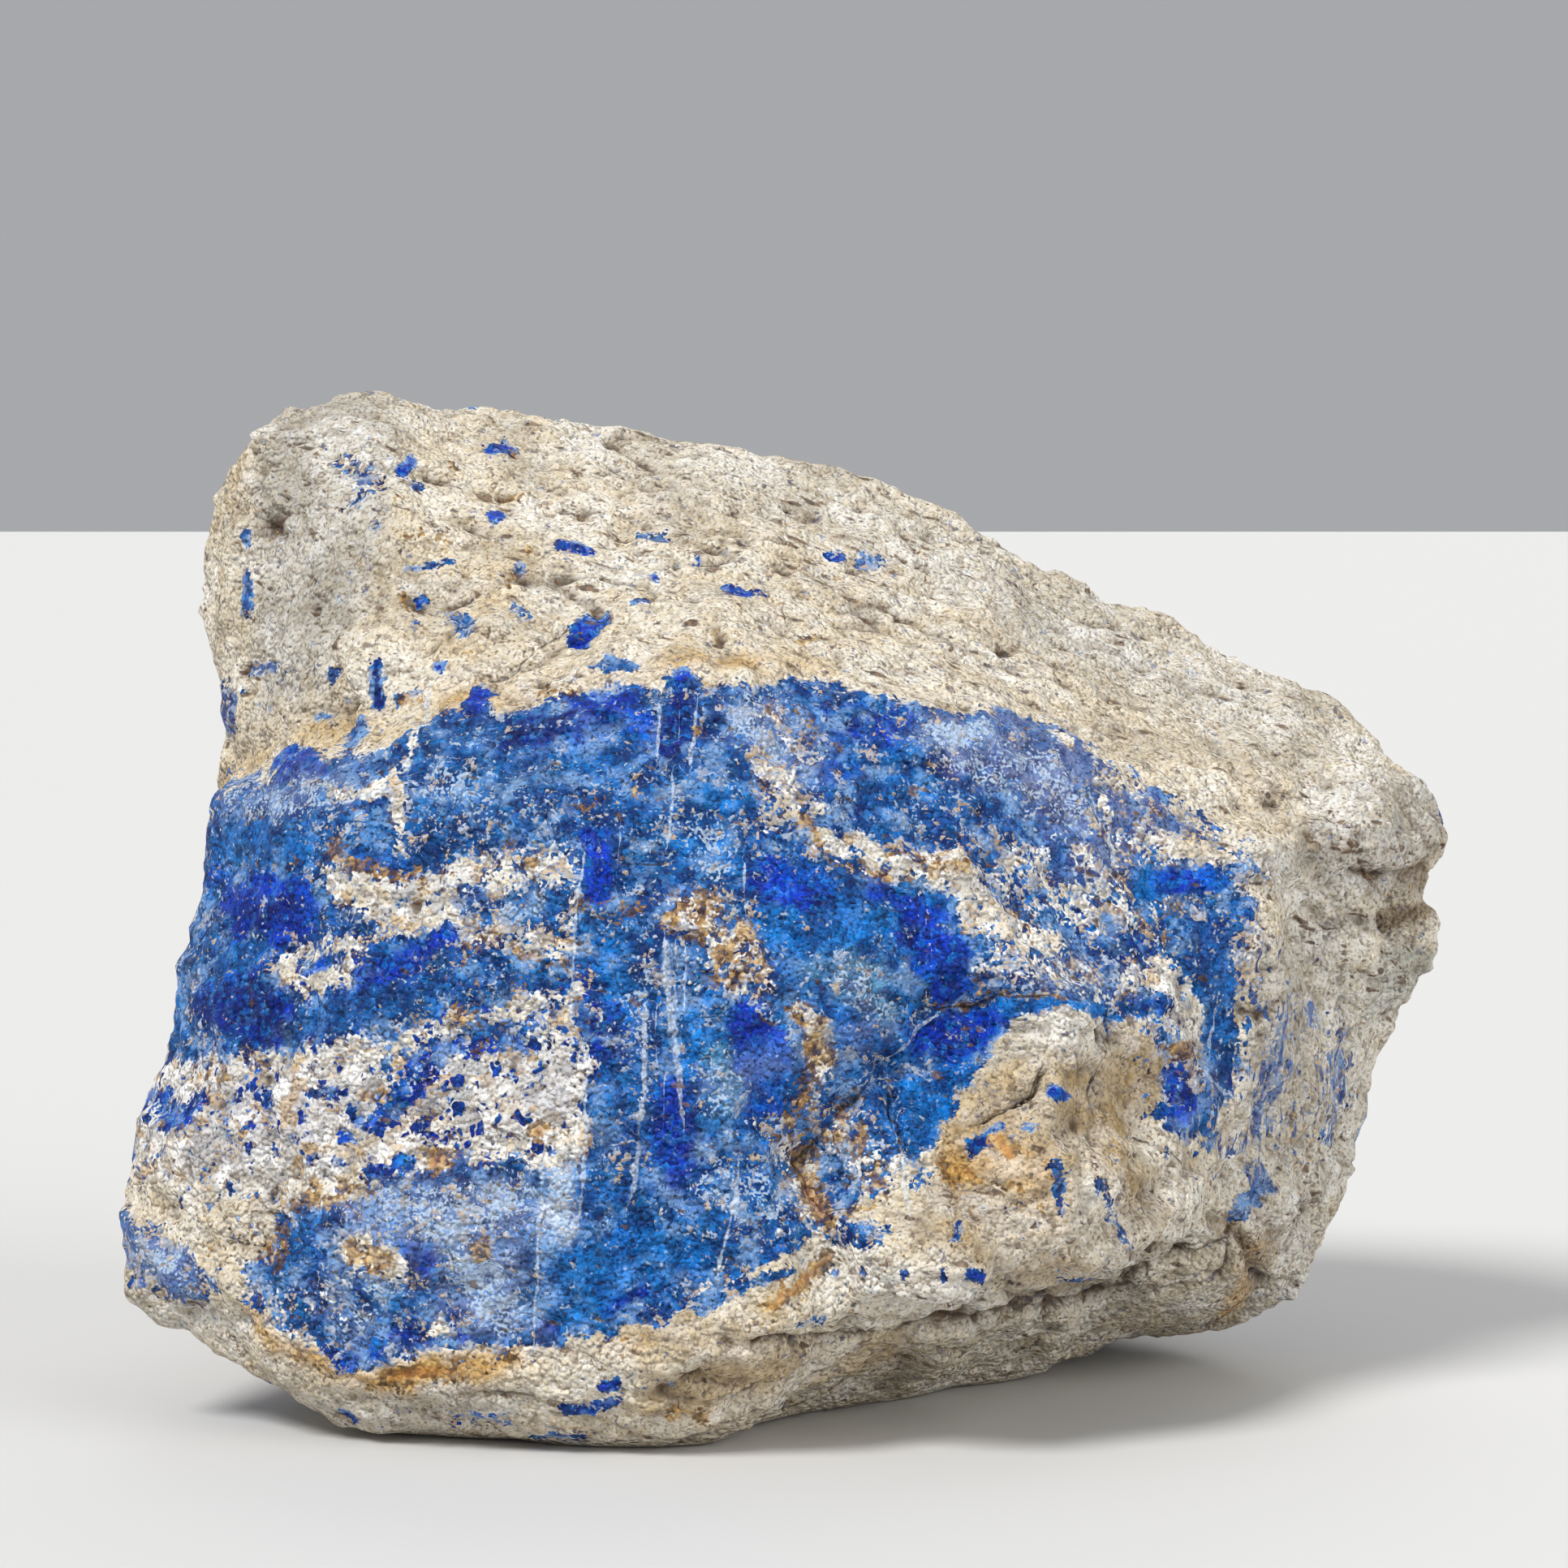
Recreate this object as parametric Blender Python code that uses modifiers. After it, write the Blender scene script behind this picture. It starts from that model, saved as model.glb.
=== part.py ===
"""Rough lapis lazuli: one weathered block of pale marble, broken open on a broad blue face.

Run with: blender --background --python part.py
Metres, +Z up. The stone rests on its own flat spot at z = 0, with the blue face towards -Y.
"""

import math

import bmesh
import bpy
import numpy as np
from mathutils import Vector, noise

# Driving dimensions, in metres
STONE_WIDTH = 0.205  # from the left foot to the hump on the right
MIDDLE_HEIGHT = 0.068  # height of the point that every landmark is seen from
FACET_SIZE = 0.0011  # edge of the fine mesh that is shaped before thinning
TRIANGLES = 9000
WEAR_STEPS = 12  # rounds of smoothing that wear the edges
GRAZING = 0.3  # how slowly the drawn relief fades where the surface turns out of sight
LUMPS = [(1.4, 30), (0.9, 14), (0.5, 7)]  # height and size, in mm
HIDDEN_LUMPS = [(3.4, 42), (1.4, 20)]
HOLLOWS = [(3.2, 30), (1.5, 15)]  # depth and size of the broken hollows, in mm
BREAKS = [  # flat breaks on the hidden sides: the way each one looks, and how many mm it takes off
    ((0.80, 0.58, 0.15), 6), ((-0.72, 0.66, 0.20), 10), ((0.10, 0.88, -0.45), 9),
    ((0.15, 0.70, 0.70), 7), ((-0.80, 0.35, -0.50), 9), ((0.70, 0.45, -0.55), 8),
]
BREAK_FLATNESS = 0.9
HIDDEN_SPREAD = 60  # rounds of averaging that start the hidden relief gently behind the skyline
WANDER_PX = 9  # how far a drawn line wanders, so that it looks grown and not ruled
WANDER_SIZE_MM = 9
STONE_COLOUR = (0.55, 0.53, 0.52, 1.0)

# Sight lines: the landmarks were read off a photograph, in pixels across and down, with a depth in mm
STONE_WIDTH_PX = 1650
PICTURE_CENTRE_PX = 966
FOCAL_PX = 6440
EYE_TILT = math.radians(4)
EYE_DISTANCE = FOCAL_PX * STONE_WIDTH / STONE_WIDTH_PX
EYE_HEIGHT = 0.1468
MM = 0.001
PIXEL_MM = STONE_WIDTH / STONE_WIDTH_PX / MM

# Seen landmarks: (across px, down px, depth mm), a smaller depth being nearer to the viewer
SKYLINE = [
    (313, 529, 2), (363, 493, 9), (412, 483, 12), (457, 476, 14), (524, 495, 16), (582, 497, 17),
    (680, 509, 18), (770, 531, 19), (923, 548, 21), (1057, 581, 23), (1160, 622, 24), (1276, 680, 25),
    (1396, 740, 26), (1512, 794, 27), (1615, 829, 27), (1682, 864, 25), (1726, 909, 22),
    (1740, 938, 18), (1771, 960, 14),
]
RIGHT_EDGE = [
    (1790, 1004, 10), (1784, 1048, 8), (1761, 1088, 8), (1775, 1137, 8), (1771, 1198, 8),
    (1733, 1238, 10), (1691, 1272, 14), (1688, 1340, 12), (1685, 1400, 10), (1664, 1448, 8),
    (1640, 1511, 6), (1603, 1582, 4), (1565, 1617, 4), (1489, 1637, 4),
]
LEFT_EDGE = [
    (280, 582, 14), (246, 616, 22), (227, 662, 26), (235, 726, 22), (249, 786, 15), (262, 840, 6),
    (270, 890, -4), (286, 936, -14), (272, 960, -22), (253, 1016, -26), (249, 1083, -26),
    (233, 1136, -28), (211, 1198, -30), (202, 1279, -32), (184, 1350, -34), (159, 1408, -36),
    (156, 1466, -38), (138, 1520, -41), (136, 1550, -42), (148, 1600, -43),
]
FOOT_EDGE = [
    (189, 1635, -43), (234, 1652, -46), (288, 1695, -50), (359, 1742, -54), (430, 1765, -56),
    (546, 1776, -58), (680, 1786, -60), (789, 1785, -61), (879, 1773, -61), (932, 1745, -61),
    (968, 1730, -60), (1021, 1720, -56), (1102, 1690, -46), (1177, 1682, -32), (1239, 1699, -8),
    (1315, 1676, -6), (1382, 1650, -4), (1440, 1643, 0),
]
LEFT_SHOULDER = [
    (310, 600, 2), (302, 700, 1), (304, 800, -4), (300, 880, -10), (390, 560, -4), (400, 680, -14),
    (390, 800, -22), (350, 890, -26), (470, 540, -2), (480, 640, -16), (470, 760, -28), (440, 860, -36),
]
BROW = [
    (310, 950, -34), (380, 915, -42), (460, 890, -47), (540, 862, -49), (640, 845, -49),
    (740, 820, -47), (850, 795, -44), (960, 812, -43), (1060, 838, -41), (1160, 860, -39),
    (1260, 885, -36), (1340, 920, -33), (1400, 985, -32), (1470, 1040, -31), (1545, 1062, -30),
    (1605, 1046, -24),
]
TOP_SLOPE = [
    (600, 600, -4), (620, 700, -22), (600, 790, -38), (760, 640, -6), (760, 730, -24), (900, 640, -3),
    (920, 730, -22), (1060, 680, 0), (1080, 770, -20), (1200, 740, 3), (1220, 820, -16), (1340, 810, 5),
    (1370, 890, -14), (1470, 860, 6), (1500, 960, -14), (1610, 900, 8), (1640, 980, -6), (1700, 960, 2),
]
BLUE_FACE = [
    (340, 1010, -46), (300, 1120, -45), (270, 1260, -46), (240, 1380, -48), (230, 1500, -51),
    (240, 1590, -53), (440, 990, -56), (420, 1110, -59), (400, 1240, -61), (380, 1360, -62),
    (370, 1480, -63), (360, 1600, -62), (580, 980, -60), (580, 1120, -65), (560, 1260, -68),
    (540, 1400, -69), (520, 1530, -69), (500, 1640, -67), (740, 960, -61), (740, 1100, -67),
    (740, 1250, -71), (730, 1400, -73), (720, 1530, -73), (680, 1640, -70), (900, 900, -54),
    (900, 1020, -62), (900, 1160, -68), (900, 1300, -71), (880, 1440, -72), (860, 1560, -72),
    (1050, 930, -50), (1050, 1060, -58), (1060, 1190, -64), (1050, 1310, -65), (1010, 1430, -64),
    (1000, 1520, -66), (1200, 970, -45), (1200, 1090, -53), (1190, 1190, -58), (1340, 1030, -39),
    (1340, 1130, -44), (1330, 1200, -48), (1470, 1110, -35), (1460, 1200, -40), (1130, 1330, -60),
    (1200, 1270, -56),
]
LOBE = [
    (1260, 1265, -60), (1330, 1245, -60), (1370, 1270, -60), (1220, 1340, -66), (1290, 1330, -68),
    (1150, 1420, -70), (1220, 1430, -73), (1300, 1420, -72), (1350, 1360, -64), (1110, 1510, -73),
    (1200, 1520, -76), (1300, 1500, -73), (1370, 1470, -66), (1400, 1290, -50), (1410, 1370, -49),
    (1440, 1440, -47), (1430, 1530, -52), (1340, 1560, -66), (1060, 1580, -76), (1180, 1590, -76),
]
RIGHT_END = [
    (1550, 1120, -31), (1560, 1200, -30), (1545, 1300, -31), (1520, 1390, -34), (1500, 1470, -37),
    (1470, 1550, -37), (1620, 1110, -14), (1620, 1200, -13), (1625, 1300, -12), (1610, 1400, -14),
    (1570, 1480, -18), (1530, 1560, -20), (1660, 1015, -14), (1720, 1010, -8), (1670, 1080, -12),
    (1730, 1070, -5), (1680, 1140, 0), (1735, 1135, 2), (1690, 1190, -6), (1740, 1190, -1),
    (1660, 1240, -2), (1590, 1550, -8),
]
FOOT_RIM = [
    (300, 1655, -57), (400, 1700, -63), (520, 1720, -68), (640, 1720, -72), (760, 1700, -74),
    (880, 1650, -76), (980, 1620, -78), (620, 1760, -66), (760, 1762, -68), (860, 1730, -70),
    (960, 1690, -73), (1080, 1660, -70), (1200, 1640, -62), (1320, 1600, -56), (1400, 1575, -48),
    (1290, 1650, -30), (1390, 1615, -24), (1470, 1595, -16),
]

# Hidden landmarks, in mm: x to the right, y away from the viewer, z up
BACK = [
    (-66, 34, 146), (-28, 38, 141), (10, 42, 132), (42, 44, 118), (72, 42, 104), (91, 35, 92),
    (-86, 42, 120), (-62, 54, 128), (-20, 56, 122), (20, 60, 112), (58, 60, 94), (86, 48, 78),
    (97, 26, 74), (-82, 34, 96), (-66, 60, 98), (-30, 68, 104), (10, 66, 92), (46, 72, 78),
    (80, 54, 60), (94, 30, 50), (-86, 16, 64), (-76, 50, 62), (-46, 76, 64), (-2, 76, 58), (38, 78, 48),
    (72, 56, 34), (82, 34, 28), (-90, 8, 34), (-72, 42, 26), (-42, 62, 28), (2, 70, 20), (36, 62, 18),
    (62, 42, 12), (-92, -16, 40), (-84, -22, 18),
]
UNDERSIDE = [
    (-66, 14, 8), (-70, -16, 9), (-54, 34, 4), (-26, 46, -1), (6, 50, -1), (34, 44, 1), (54, 22, 4),
    (-48, -20, -1), (-40, 10, -3), (-10, -10, -5), (-10, 22, -5), (22, 10, -5), (20, -18, -3),
    (38, 0, -1), (-30, -44, -2), (-6, -42, -2), (20, 34, -3),
]

# Grooves and ridges that the photograph shows: height and half width in mm, and their line in pixels
SHOULDER_CREASE = (-2.4, 3.5, [(286, 936), (380, 894), (470, 866), (560, 842), (640, 824), (700, 780)])
HUMP_CREVICE = (-5.0, 3.2, [(1628, 1150), (1664, 1136), (1710, 1130), (1765, 1104)])
HUMP_CREASE = (-2.0, 2.6, [(1614, 1104), (1660, 1078), (1710, 1072), (1768, 1076)])
HUMP_VALLEY = (-2.4, 5.0, [(1618, 1000), (1612, 1060), (1600, 1120), (1620, 1180)])
CORNER_RIDGE = (1.6, 4.0, [(1560, 1052), (1592, 1080), (1575, 1130), (1555, 1200), (1550, 1290)])
RUST_GROOVE = (-2.8, 2.8, [(1080, 1317), (1055, 1352), (1038, 1387), (1002, 1425), (1004, 1480)])
RECESS_CRACK = (-2.6, 1.8, [(1120, 1310), (1096, 1348), (1102, 1400), (1112, 1470)])
DARK_GAP = (-2.6, 2.0, [(1150, 1246), (1190, 1240), (1240, 1232)])
LOBE_CRACK = (-2.4, 1.7, [(1278, 1318), (1266, 1340), (1238, 1362), (1205, 1386)])
LOBE_SPINE = (2.0, 3.5, [(1350, 1268), (1290, 1270), (1240, 1318), (1190, 1366)])
COLUMN_CREASE = (-4.0, 2.2, [(1368, 1252), (1362, 1300), (1350, 1350), (1340, 1390)])
COLUMN_FACE = (-2.6, 6.0, [(1420, 1290), (1415, 1340), (1405, 1400)])
COLUMN_RIM = (2.2, 3.5, [(1452, 1280), (1450, 1360), (1432, 1420), (1380, 1450)])
SPECKLED_KNOLL = (2.2, 5.0, [(1050, 1500), (1100, 1530), (1180, 1560)])
FOOT_UNDERCUT = (-5.0, 3.6, [(1000, 1690), (1080, 1655), (1180, 1634), (1270, 1606), (1340, 1598)])
FLOW_FURROW = (-3.0, 3.0, [(1340, 1640), (1410, 1596), (1480, 1530), (1530, 1450), (1560, 1370)])
FLOW_ROLL = (2.6, 3.5, [(1150, 1668), (1240, 1640), (1330, 1618), (1400, 1570), (1460, 1490)])
FOOT_HOLLOW = (-3.5, 3.0, [(1215, 1668), (1255, 1660), (1285, 1650)])
FOOT_ROLL = (2.2, 3.5, [(1230, 1686), (1320, 1656), (1420, 1612), (1510, 1560), (1580, 1470)])
TOE_CREASE = (-1.8, 3.0, [(152, 1476), (205, 1500), (246, 1560), (262, 1640)])
CENTRE_RISE = (1.4, 6.0, [(640, 1000), (700, 1100), (700, 1300), (660, 1600)])
LEFT_HOLLOW = (-1.6, 8.0, [(560, 1060), (460, 1130), (330, 1180)])
LOWER_HOLLOW = (-1.4, 7.0, [(600, 1300), (480, 1400), (330, 1480)])
GREY_FACET_EDGE = (1.6, 5.0, [(470, 500), (478, 600), (470, 700), (440, 800)])
LEFT_CORNER = (1.4, 3.5, [(312, 540), (300, 640), (298, 740), (292, 850)])
GROOVES_AND_RIDGES = [
    SHOULDER_CREASE, HUMP_CREVICE, HUMP_CREASE, HUMP_VALLEY, CORNER_RIDGE, RUST_GROOVE, RECESS_CRACK,
    DARK_GAP, LOBE_CRACK, LOBE_SPINE, COLUMN_CREASE, COLUMN_FACE, COLUMN_RIM, SPECKLED_KNOLL, FOOT_UNDERCUT,
    FLOW_FURROW, FLOW_ROLL, FOOT_HOLLOW, FOOT_ROLL, TOE_CREASE, CENTRE_RISE, LEFT_HOLLOW, LOWER_HOLLOW,
    GREY_FACET_EDGE, LEFT_CORNER,
]

# Ledges: drop, width and reach in mm, and the line in pixels
# The stone is lower on the right of the line's way
LOBE_LEDGE = (4.6, 1.8, 14, [
    (1150, 1412), (1162, 1376), (1196, 1334), (1238, 1284), (1268, 1252), (1304, 1243), (1362, 1250),
])
BROW_LEDGE = (1.3, 2.4, 22, [
    (1360, 950), (1240, 885), (1080, 846), (960, 835), (850, 826),
    (700, 852), (520, 892), (400, 940), (262, 1004),
])
KNOLL_LEDGE = (2.0, 1.8, 12, [(960, 1560), (1020, 1517), (1046, 1487), (1090, 1468)])
RIND_LEDGE = (0.8, 2.4, 16, [
    (250, 1600), (330, 1650), (420, 1684), (560, 1668), (650, 1652), (760, 1600), (880, 1545),
])
LEDGES = [LOBE_LEDGE, BROW_LEDGE, KNOLL_LEDGE, RIND_LEDGE]


def clear_scene():
    for thing in list(bpy.data.objects):
        bpy.data.objects.remove(thing, do_unlink=True)


def seen(across_px, down_px, depth_mm):
    """The point on the sight line through a pixel of the photograph that lies at that depth."""
    forward = Vector((0, math.cos(EYE_TILT), -math.sin(EYE_TILT)))
    up = Vector((0, math.sin(EYE_TILT), math.cos(EYE_TILT)))
    right = Vector((1, 0, 0))
    sight = forward + right * (across_px - PICTURE_CENTRE_PX) / FOCAL_PX
    sight += up * (PICTURE_CENTRE_PX - down_px) / FOCAL_PX
    eye = Vector((0, -EYE_DISTANCE, EYE_HEIGHT))
    return eye + sight * (depth_mm * MM + EYE_DISTANCE) / sight.y


def landmarks():
    """Every landmark of the stone, in metres."""
    front = SKYLINE + RIGHT_EDGE + LEFT_EDGE + FOOT_EDGE + LEFT_SHOULDER + BROW
    front += TOP_SLOPE + BLUE_FACE + LOBE + RIGHT_END + FOOT_RIM
    hidden = [Vector(point) * MM for point in BACK + UNDERSIDE]
    return [seen(*point) for point in front] + hidden


def cage(points, middle):
    """Facets between neighbouring landmarks: the hull of their directions, moved out to the landmarks."""
    bm = bmesh.new()
    place = bm.verts.layers.float_vector.new("place")
    for point in points:
        corner = bm.verts.new((point - middle).normalized())
        corner[place] = point
    bmesh.ops.convex_hull(bm, input=bm.verts)
    for corner in bm.verts:
        corner.co = corner[place]
    bmesh.ops.recalc_face_normals(bm, faces=bm.faces)
    return bm


def block(points):
    """The cage with its edges worn round, as an even fine mesh."""
    bm = cage(points, Vector((0, 0, MIDDLE_HEIGHT)))
    mesh = bpy.data.meshes.new("block")
    bm.to_mesh(mesh)
    bm.free()
    stone = bpy.data.objects.new("block", mesh)
    bpy.context.scene.collection.objects.link(stone)
    fine = stone.modifiers.new("even facets", "REMESH")
    fine.mode = "VOXEL"
    fine.voxel_size = FACET_SIZE
    worn = stone.modifiers.new("worn edges", "SMOOTH")
    worn.iterations = WEAR_STEPS
    return applied(stone, "worn block")


def applied(thing, name):
    """A new object holding thing's mesh with its modifiers worked in. The old object goes."""
    graph = bpy.context.evaluated_depsgraph_get()
    mesh = bpy.data.meshes.new_from_object(thing.evaluated_get(graph))
    bpy.data.objects.remove(thing, do_unlink=True)
    mesh.name = name
    made = bpy.data.objects.new(name, mesh)
    bpy.context.scene.collection.objects.link(made)
    return made


def read(mesh, field):
    """The vertices' co or normal as an array of rows."""
    values = np.empty(len(mesh.vertices) * 3, np.float32)
    mesh.vertices.foreach_get(field, values)
    return values.reshape(-1, 3).astype(float)


def pictured(places):
    """Where the photograph shows each point, in pixels across and down."""
    sight = places - np.array((0, -EYE_DISTANCE, EYE_HEIGHT))
    depth = sight[:, 1] * math.cos(EYE_TILT) - sight[:, 2] * math.sin(EYE_TILT)
    rise = sight[:, 1] * math.sin(EYE_TILT) + sight[:, 2] * math.cos(EYE_TILT)
    across = PICTURE_CENTRE_PX + FOCAL_PX * sight[:, 0] / depth
    down = PICTURE_CENTRE_PX - FOCAL_PX * rise / depth
    return np.stack((across, down), 1)


def facing(places, normals):
    """1 where the surface is seen in the photograph, fading to 0 where it turns away."""
    sight = np.array((0, -EYE_DISTANCE, EYE_HEIGHT)) - places
    sight /= np.linalg.norm(sight, axis=1)[:, None]
    return np.clip((normals * sight).sum(1) / GRAZING + 0.5, 0, 1)


def to_path(spots, path):
    """Distance in mm from each picture spot to a line of pixels, and its signed distance across the line.

    The signed distance is above 0 on the right of the line's way, and nearly 0 beyond the line's ends.
    """
    nearest = np.full(len(spots), 1e9)
    signed = np.zeros(len(spots))
    for start, end in zip(np.array(path[:-1], float), np.array(path[1:], float)):
        along = end - start
        share = np.clip((spots - start) @ along / (along @ along), 0, 1)
        gap = spots - start - share[:, None] * along
        distance = np.linalg.norm(gap, axis=1) * PIXEL_MM
        across = (along[0] * gap[:, 1] - along[1] * gap[:, 0]) / np.linalg.norm(along) * PIXEL_MM
        closer = distance < nearest
        nearest = np.where(closer, distance, nearest)
        signed = np.where(closer, across, signed)
    return nearest, signed


def unevenness(places, size_mm, seed=0.0):
    """Smooth noise from about -1 to 1 whose lumps are size_mm across."""
    offset = Vector((seed, seed, seed))
    return np.array([noise.noise(Vector(place) + offset) for place in places / (size_mm * MM)])


def hollows(places, size_mm, seed=0.0):
    """0 in the middle of each round hollow, rising to sharp arrises between neighbouring hollows."""
    offset = Vector((seed, seed, seed))
    return np.array([noise.voronoi(Vector(place) + offset)[0][0] for place in places / (size_mm * MM)])


def shape_front(mesh):
    """Cuts the grooves, raises the ridges and drops the ledges that the photograph shows."""
    places, normals = read(mesh, "co"), read(mesh, "normal")
    seen_share = facing(places, normals)
    spots = pictured(places)
    spots[:, 0] += WANDER_PX * unevenness(places, WANDER_SIZE_MM, 3.0)
    spots[:, 1] += WANDER_PX * unevenness(places, WANDER_SIZE_MM, 9.0)
    lift = np.zeros(len(places))
    for height, width, path in GROOVES_AND_RIDGES:
        distance = to_path(spots, path)[0]
        lift += height * np.exp(-((distance / width) ** 2))
    for drop, width, reach, path in LEDGES:
        distance, signed = to_path(spots, path)
        lower = np.clip(0.5 + signed / width, 0, 1) * (np.abs(signed) > distance * 0.7)
        lift -= drop * lower * np.exp(-distance / reach)
    move(mesh, places, normals, lift * seen_share)


def hidden_share(mesh):
    """0 on all that the photograph shows, rising to 1 some way round on the other sides."""
    share = 1 - facing(read(mesh, "co"), read(mesh, "normal"))
    ends = np.empty(len(mesh.edges) * 2, np.int32)
    mesh.edges.foreach_get("vertices", ends)
    starts, stops = ends.reshape(-1, 2).T
    count = np.bincount(ends, minlength=len(share))
    for step in range(HIDDEN_SPREAD):
        total = np.bincount(starts, share[stops], len(share))
        total += np.bincount(stops, share[starts], len(share))
        share = (share + total / count) / 2
    return np.clip(2 * share - 1, 0, 1)


def break_back(mesh):
    """Takes flat breaks off the hidden sides, as where the block came away from the rock."""
    places = read(mesh, "co")
    hidden = hidden_share(mesh)
    for direction, depth in BREAKS:
        way = np.array(direction) / np.linalg.norm(direction)
        reach = places @ way
        over = np.maximum(reach - reach[hidden > 0.5].max() + depth * MM, 0)
        places -= (BREAK_FLATNESS * hidden * over)[:, None] * way
    mesh.vertices.foreach_set("co", places.astype(np.float32).ravel())
    mesh.update()


def weather(mesh):
    """Lumps all over, and broken hollows on the sides that the photograph doesn't show."""
    places, normals = read(mesh, "co"), read(mesh, "normal")
    lift = sum(height * unevenness(places, size) for height, size in LUMPS)
    hidden = hidden_share(mesh)
    lift += hidden * sum(height * unevenness(places, size, 5.0) for height, size in HIDDEN_LUMPS)
    bent = places + 0.006 * np.stack([unevenness(places, 18, seed) for seed in (13.0, 17.0, 23.0)], 1)
    lift += hidden * sum(depth * (hollows(bent, size, 7.0) - 0.5) for depth, size in HOLLOWS)
    move(mesh, places, normals, lift)


def move(mesh, places, normals, lift_mm):
    """Moves each vertex along its normal, by a height in mm."""
    moved = places + normals * (lift_mm * MM)[:, None]
    mesh.vertices.foreach_set("co", moved.astype(np.float32).ravel())
    mesh.update()


def marble():
    """Pale weathered marble, between the cream rind and the blue face in tone."""
    material = bpy.data.materials.new("weathered marble")
    material.use_nodes = True
    surface = material.node_tree.nodes["Principled BSDF"]
    surface.inputs["Base Color"].default_value = STONE_COLOUR
    surface.inputs["Roughness"].default_value = 0.75
    surface.inputs["Metallic"].default_value = 0.0
    material.diffuse_color = STONE_COLOUR
    return material


def stand(mesh):
    """Cuts the flat resting spot at z = 0 and brings the middle of the stone over the origin."""
    bm = bmesh.new()
    bm.from_mesh(mesh)
    whole = bm.verts[:] + bm.edges[:] + bm.faces[:]
    cut = bmesh.ops.bisect_plane(bm, geom=whole, plane_no=(0, 0, -1), clear_outer=True)
    rim = [edge for edge in cut["geom_cut"] if isinstance(edge, bmesh.types.BMEdge)]
    bmesh.ops.triangle_fill(bm, edges=rim, use_beauty=True, normal=(0, 0, -1))
    bmesh.ops.triangulate(bm, faces=bm.faces)
    bmesh.ops.recalc_face_normals(bm, faces=bm.faces)
    corners = np.array([corner.co for corner in bm.verts])
    middle = (corners.min(0) + corners.max(0)) / 2
    bmesh.ops.translate(bm, verts=bm.verts, vec=(-middle[0], -middle[1], 0))
    bm.to_mesh(mesh)
    bm.free()
    return middle


def main():
    clear_scene()
    stone = block(landmarks())
    shape_front(stone.data)
    break_back(stone.data)
    weather(stone.data)
    thin = stone.modifiers.new("fewer facets", "DECIMATE")
    thin.ratio = TRIANGLES / sum(len(face.vertices) - 2 for face in stone.data.polygons)
    stone = applied(stone, "rough_stone")
    middle = stand(stone.data)
    stone.data.shade_smooth()
    stone.data.materials.clear()
    stone.data.materials.append(marble())
    stones = bpy.data.collections.new("rough_lapis_lazuli")
    bpy.context.scene.collection.children.link(stones)
    bpy.context.scene.collection.objects.unlink(stone)
    stones.objects.link(stone)
    return middle


MIDDLE = main()
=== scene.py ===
# %% [markdown]
# # A rough lapis lazuli stone
# The stone is a block of weathered, cream-coloured marble. It broke open along one broad
# face, and that face is full of lapis lazuli: grains and patches of blue with white calcite,
# golden specks and rust between them. We take the shape from the CAD solid, give it a fine
# mesh with real relief, paint soft masks for each mineral on that mesh, and let one
# procedural material turn the masks into crisp grains.

import math
from functools import cache

import bmesh
import bpy
import numpy as np
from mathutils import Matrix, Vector, noise


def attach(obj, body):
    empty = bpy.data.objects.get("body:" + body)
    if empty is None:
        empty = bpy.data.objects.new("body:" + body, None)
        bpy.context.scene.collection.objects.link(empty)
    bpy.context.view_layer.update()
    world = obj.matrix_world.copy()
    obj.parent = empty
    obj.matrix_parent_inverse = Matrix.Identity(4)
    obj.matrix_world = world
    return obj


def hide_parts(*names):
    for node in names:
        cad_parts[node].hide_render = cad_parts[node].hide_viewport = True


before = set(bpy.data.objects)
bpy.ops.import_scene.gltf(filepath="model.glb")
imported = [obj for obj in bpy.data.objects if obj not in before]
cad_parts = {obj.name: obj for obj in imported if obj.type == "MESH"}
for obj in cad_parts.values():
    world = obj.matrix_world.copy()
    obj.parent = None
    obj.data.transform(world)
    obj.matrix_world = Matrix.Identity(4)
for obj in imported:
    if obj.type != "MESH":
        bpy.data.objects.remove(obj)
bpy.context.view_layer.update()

# %% [markdown]
# ## The photograph's viewpoint
# Every marking is placed where the photograph shows it, so we need the same viewpoint twice:
# for the camera, and to tell where a point of the mesh is seen. A long lens looks down by 4
# degrees from 0.8 metres away. The CAD model was centred over the origin after it was shaped,
# and `CENTRING` is the step it took.

# %% Camera
MM = 0.001
PICTURE_CENTRE_PX = 966
FOCAL_PX = 6440
SENSOR_MM = 36
EYE_TILT = math.radians(4)
CENTRING = Vector((0.00298, -0.00046, 0.0))
EYE = Vector((0.0, -0.80012, 0.1468)) - CENTRING

camera = bpy.data.objects.new("camera", bpy.data.cameras.new("camera"))
camera.data.sensor_width = SENSOR_MM
camera.data.lens = SENSOR_MM * FOCAL_PX / (2 * PICTURE_CENTRE_PX)
camera.data.clip_start = 0.01
camera.location = EYE
camera.rotation_euler = (math.pi / 2 - EYE_TILT, 0, 0)
bpy.context.scene.collection.objects.link(camera)
bpy.context.scene.camera = camera
print("lens:", camera.data.lens, "mm")

# %% [markdown]
# ## A fine mesh from the CAD solid
# The CAD stone has facets about 5 mm across. Merging its loose triangles and running a voxel
# Remesh gives an even mesh, and a few rounds of smoothing wear the facets away. The side that
# the camera sees gets its edges cut in two, because the markings there are finer, while the
# back keeps the larger faces and the whole stays light.

# %% Copy, merge and remesh
BASE_FACE = 1.85 * MM
WEAR_STEPS = 6  # rounds of smoothing

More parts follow.
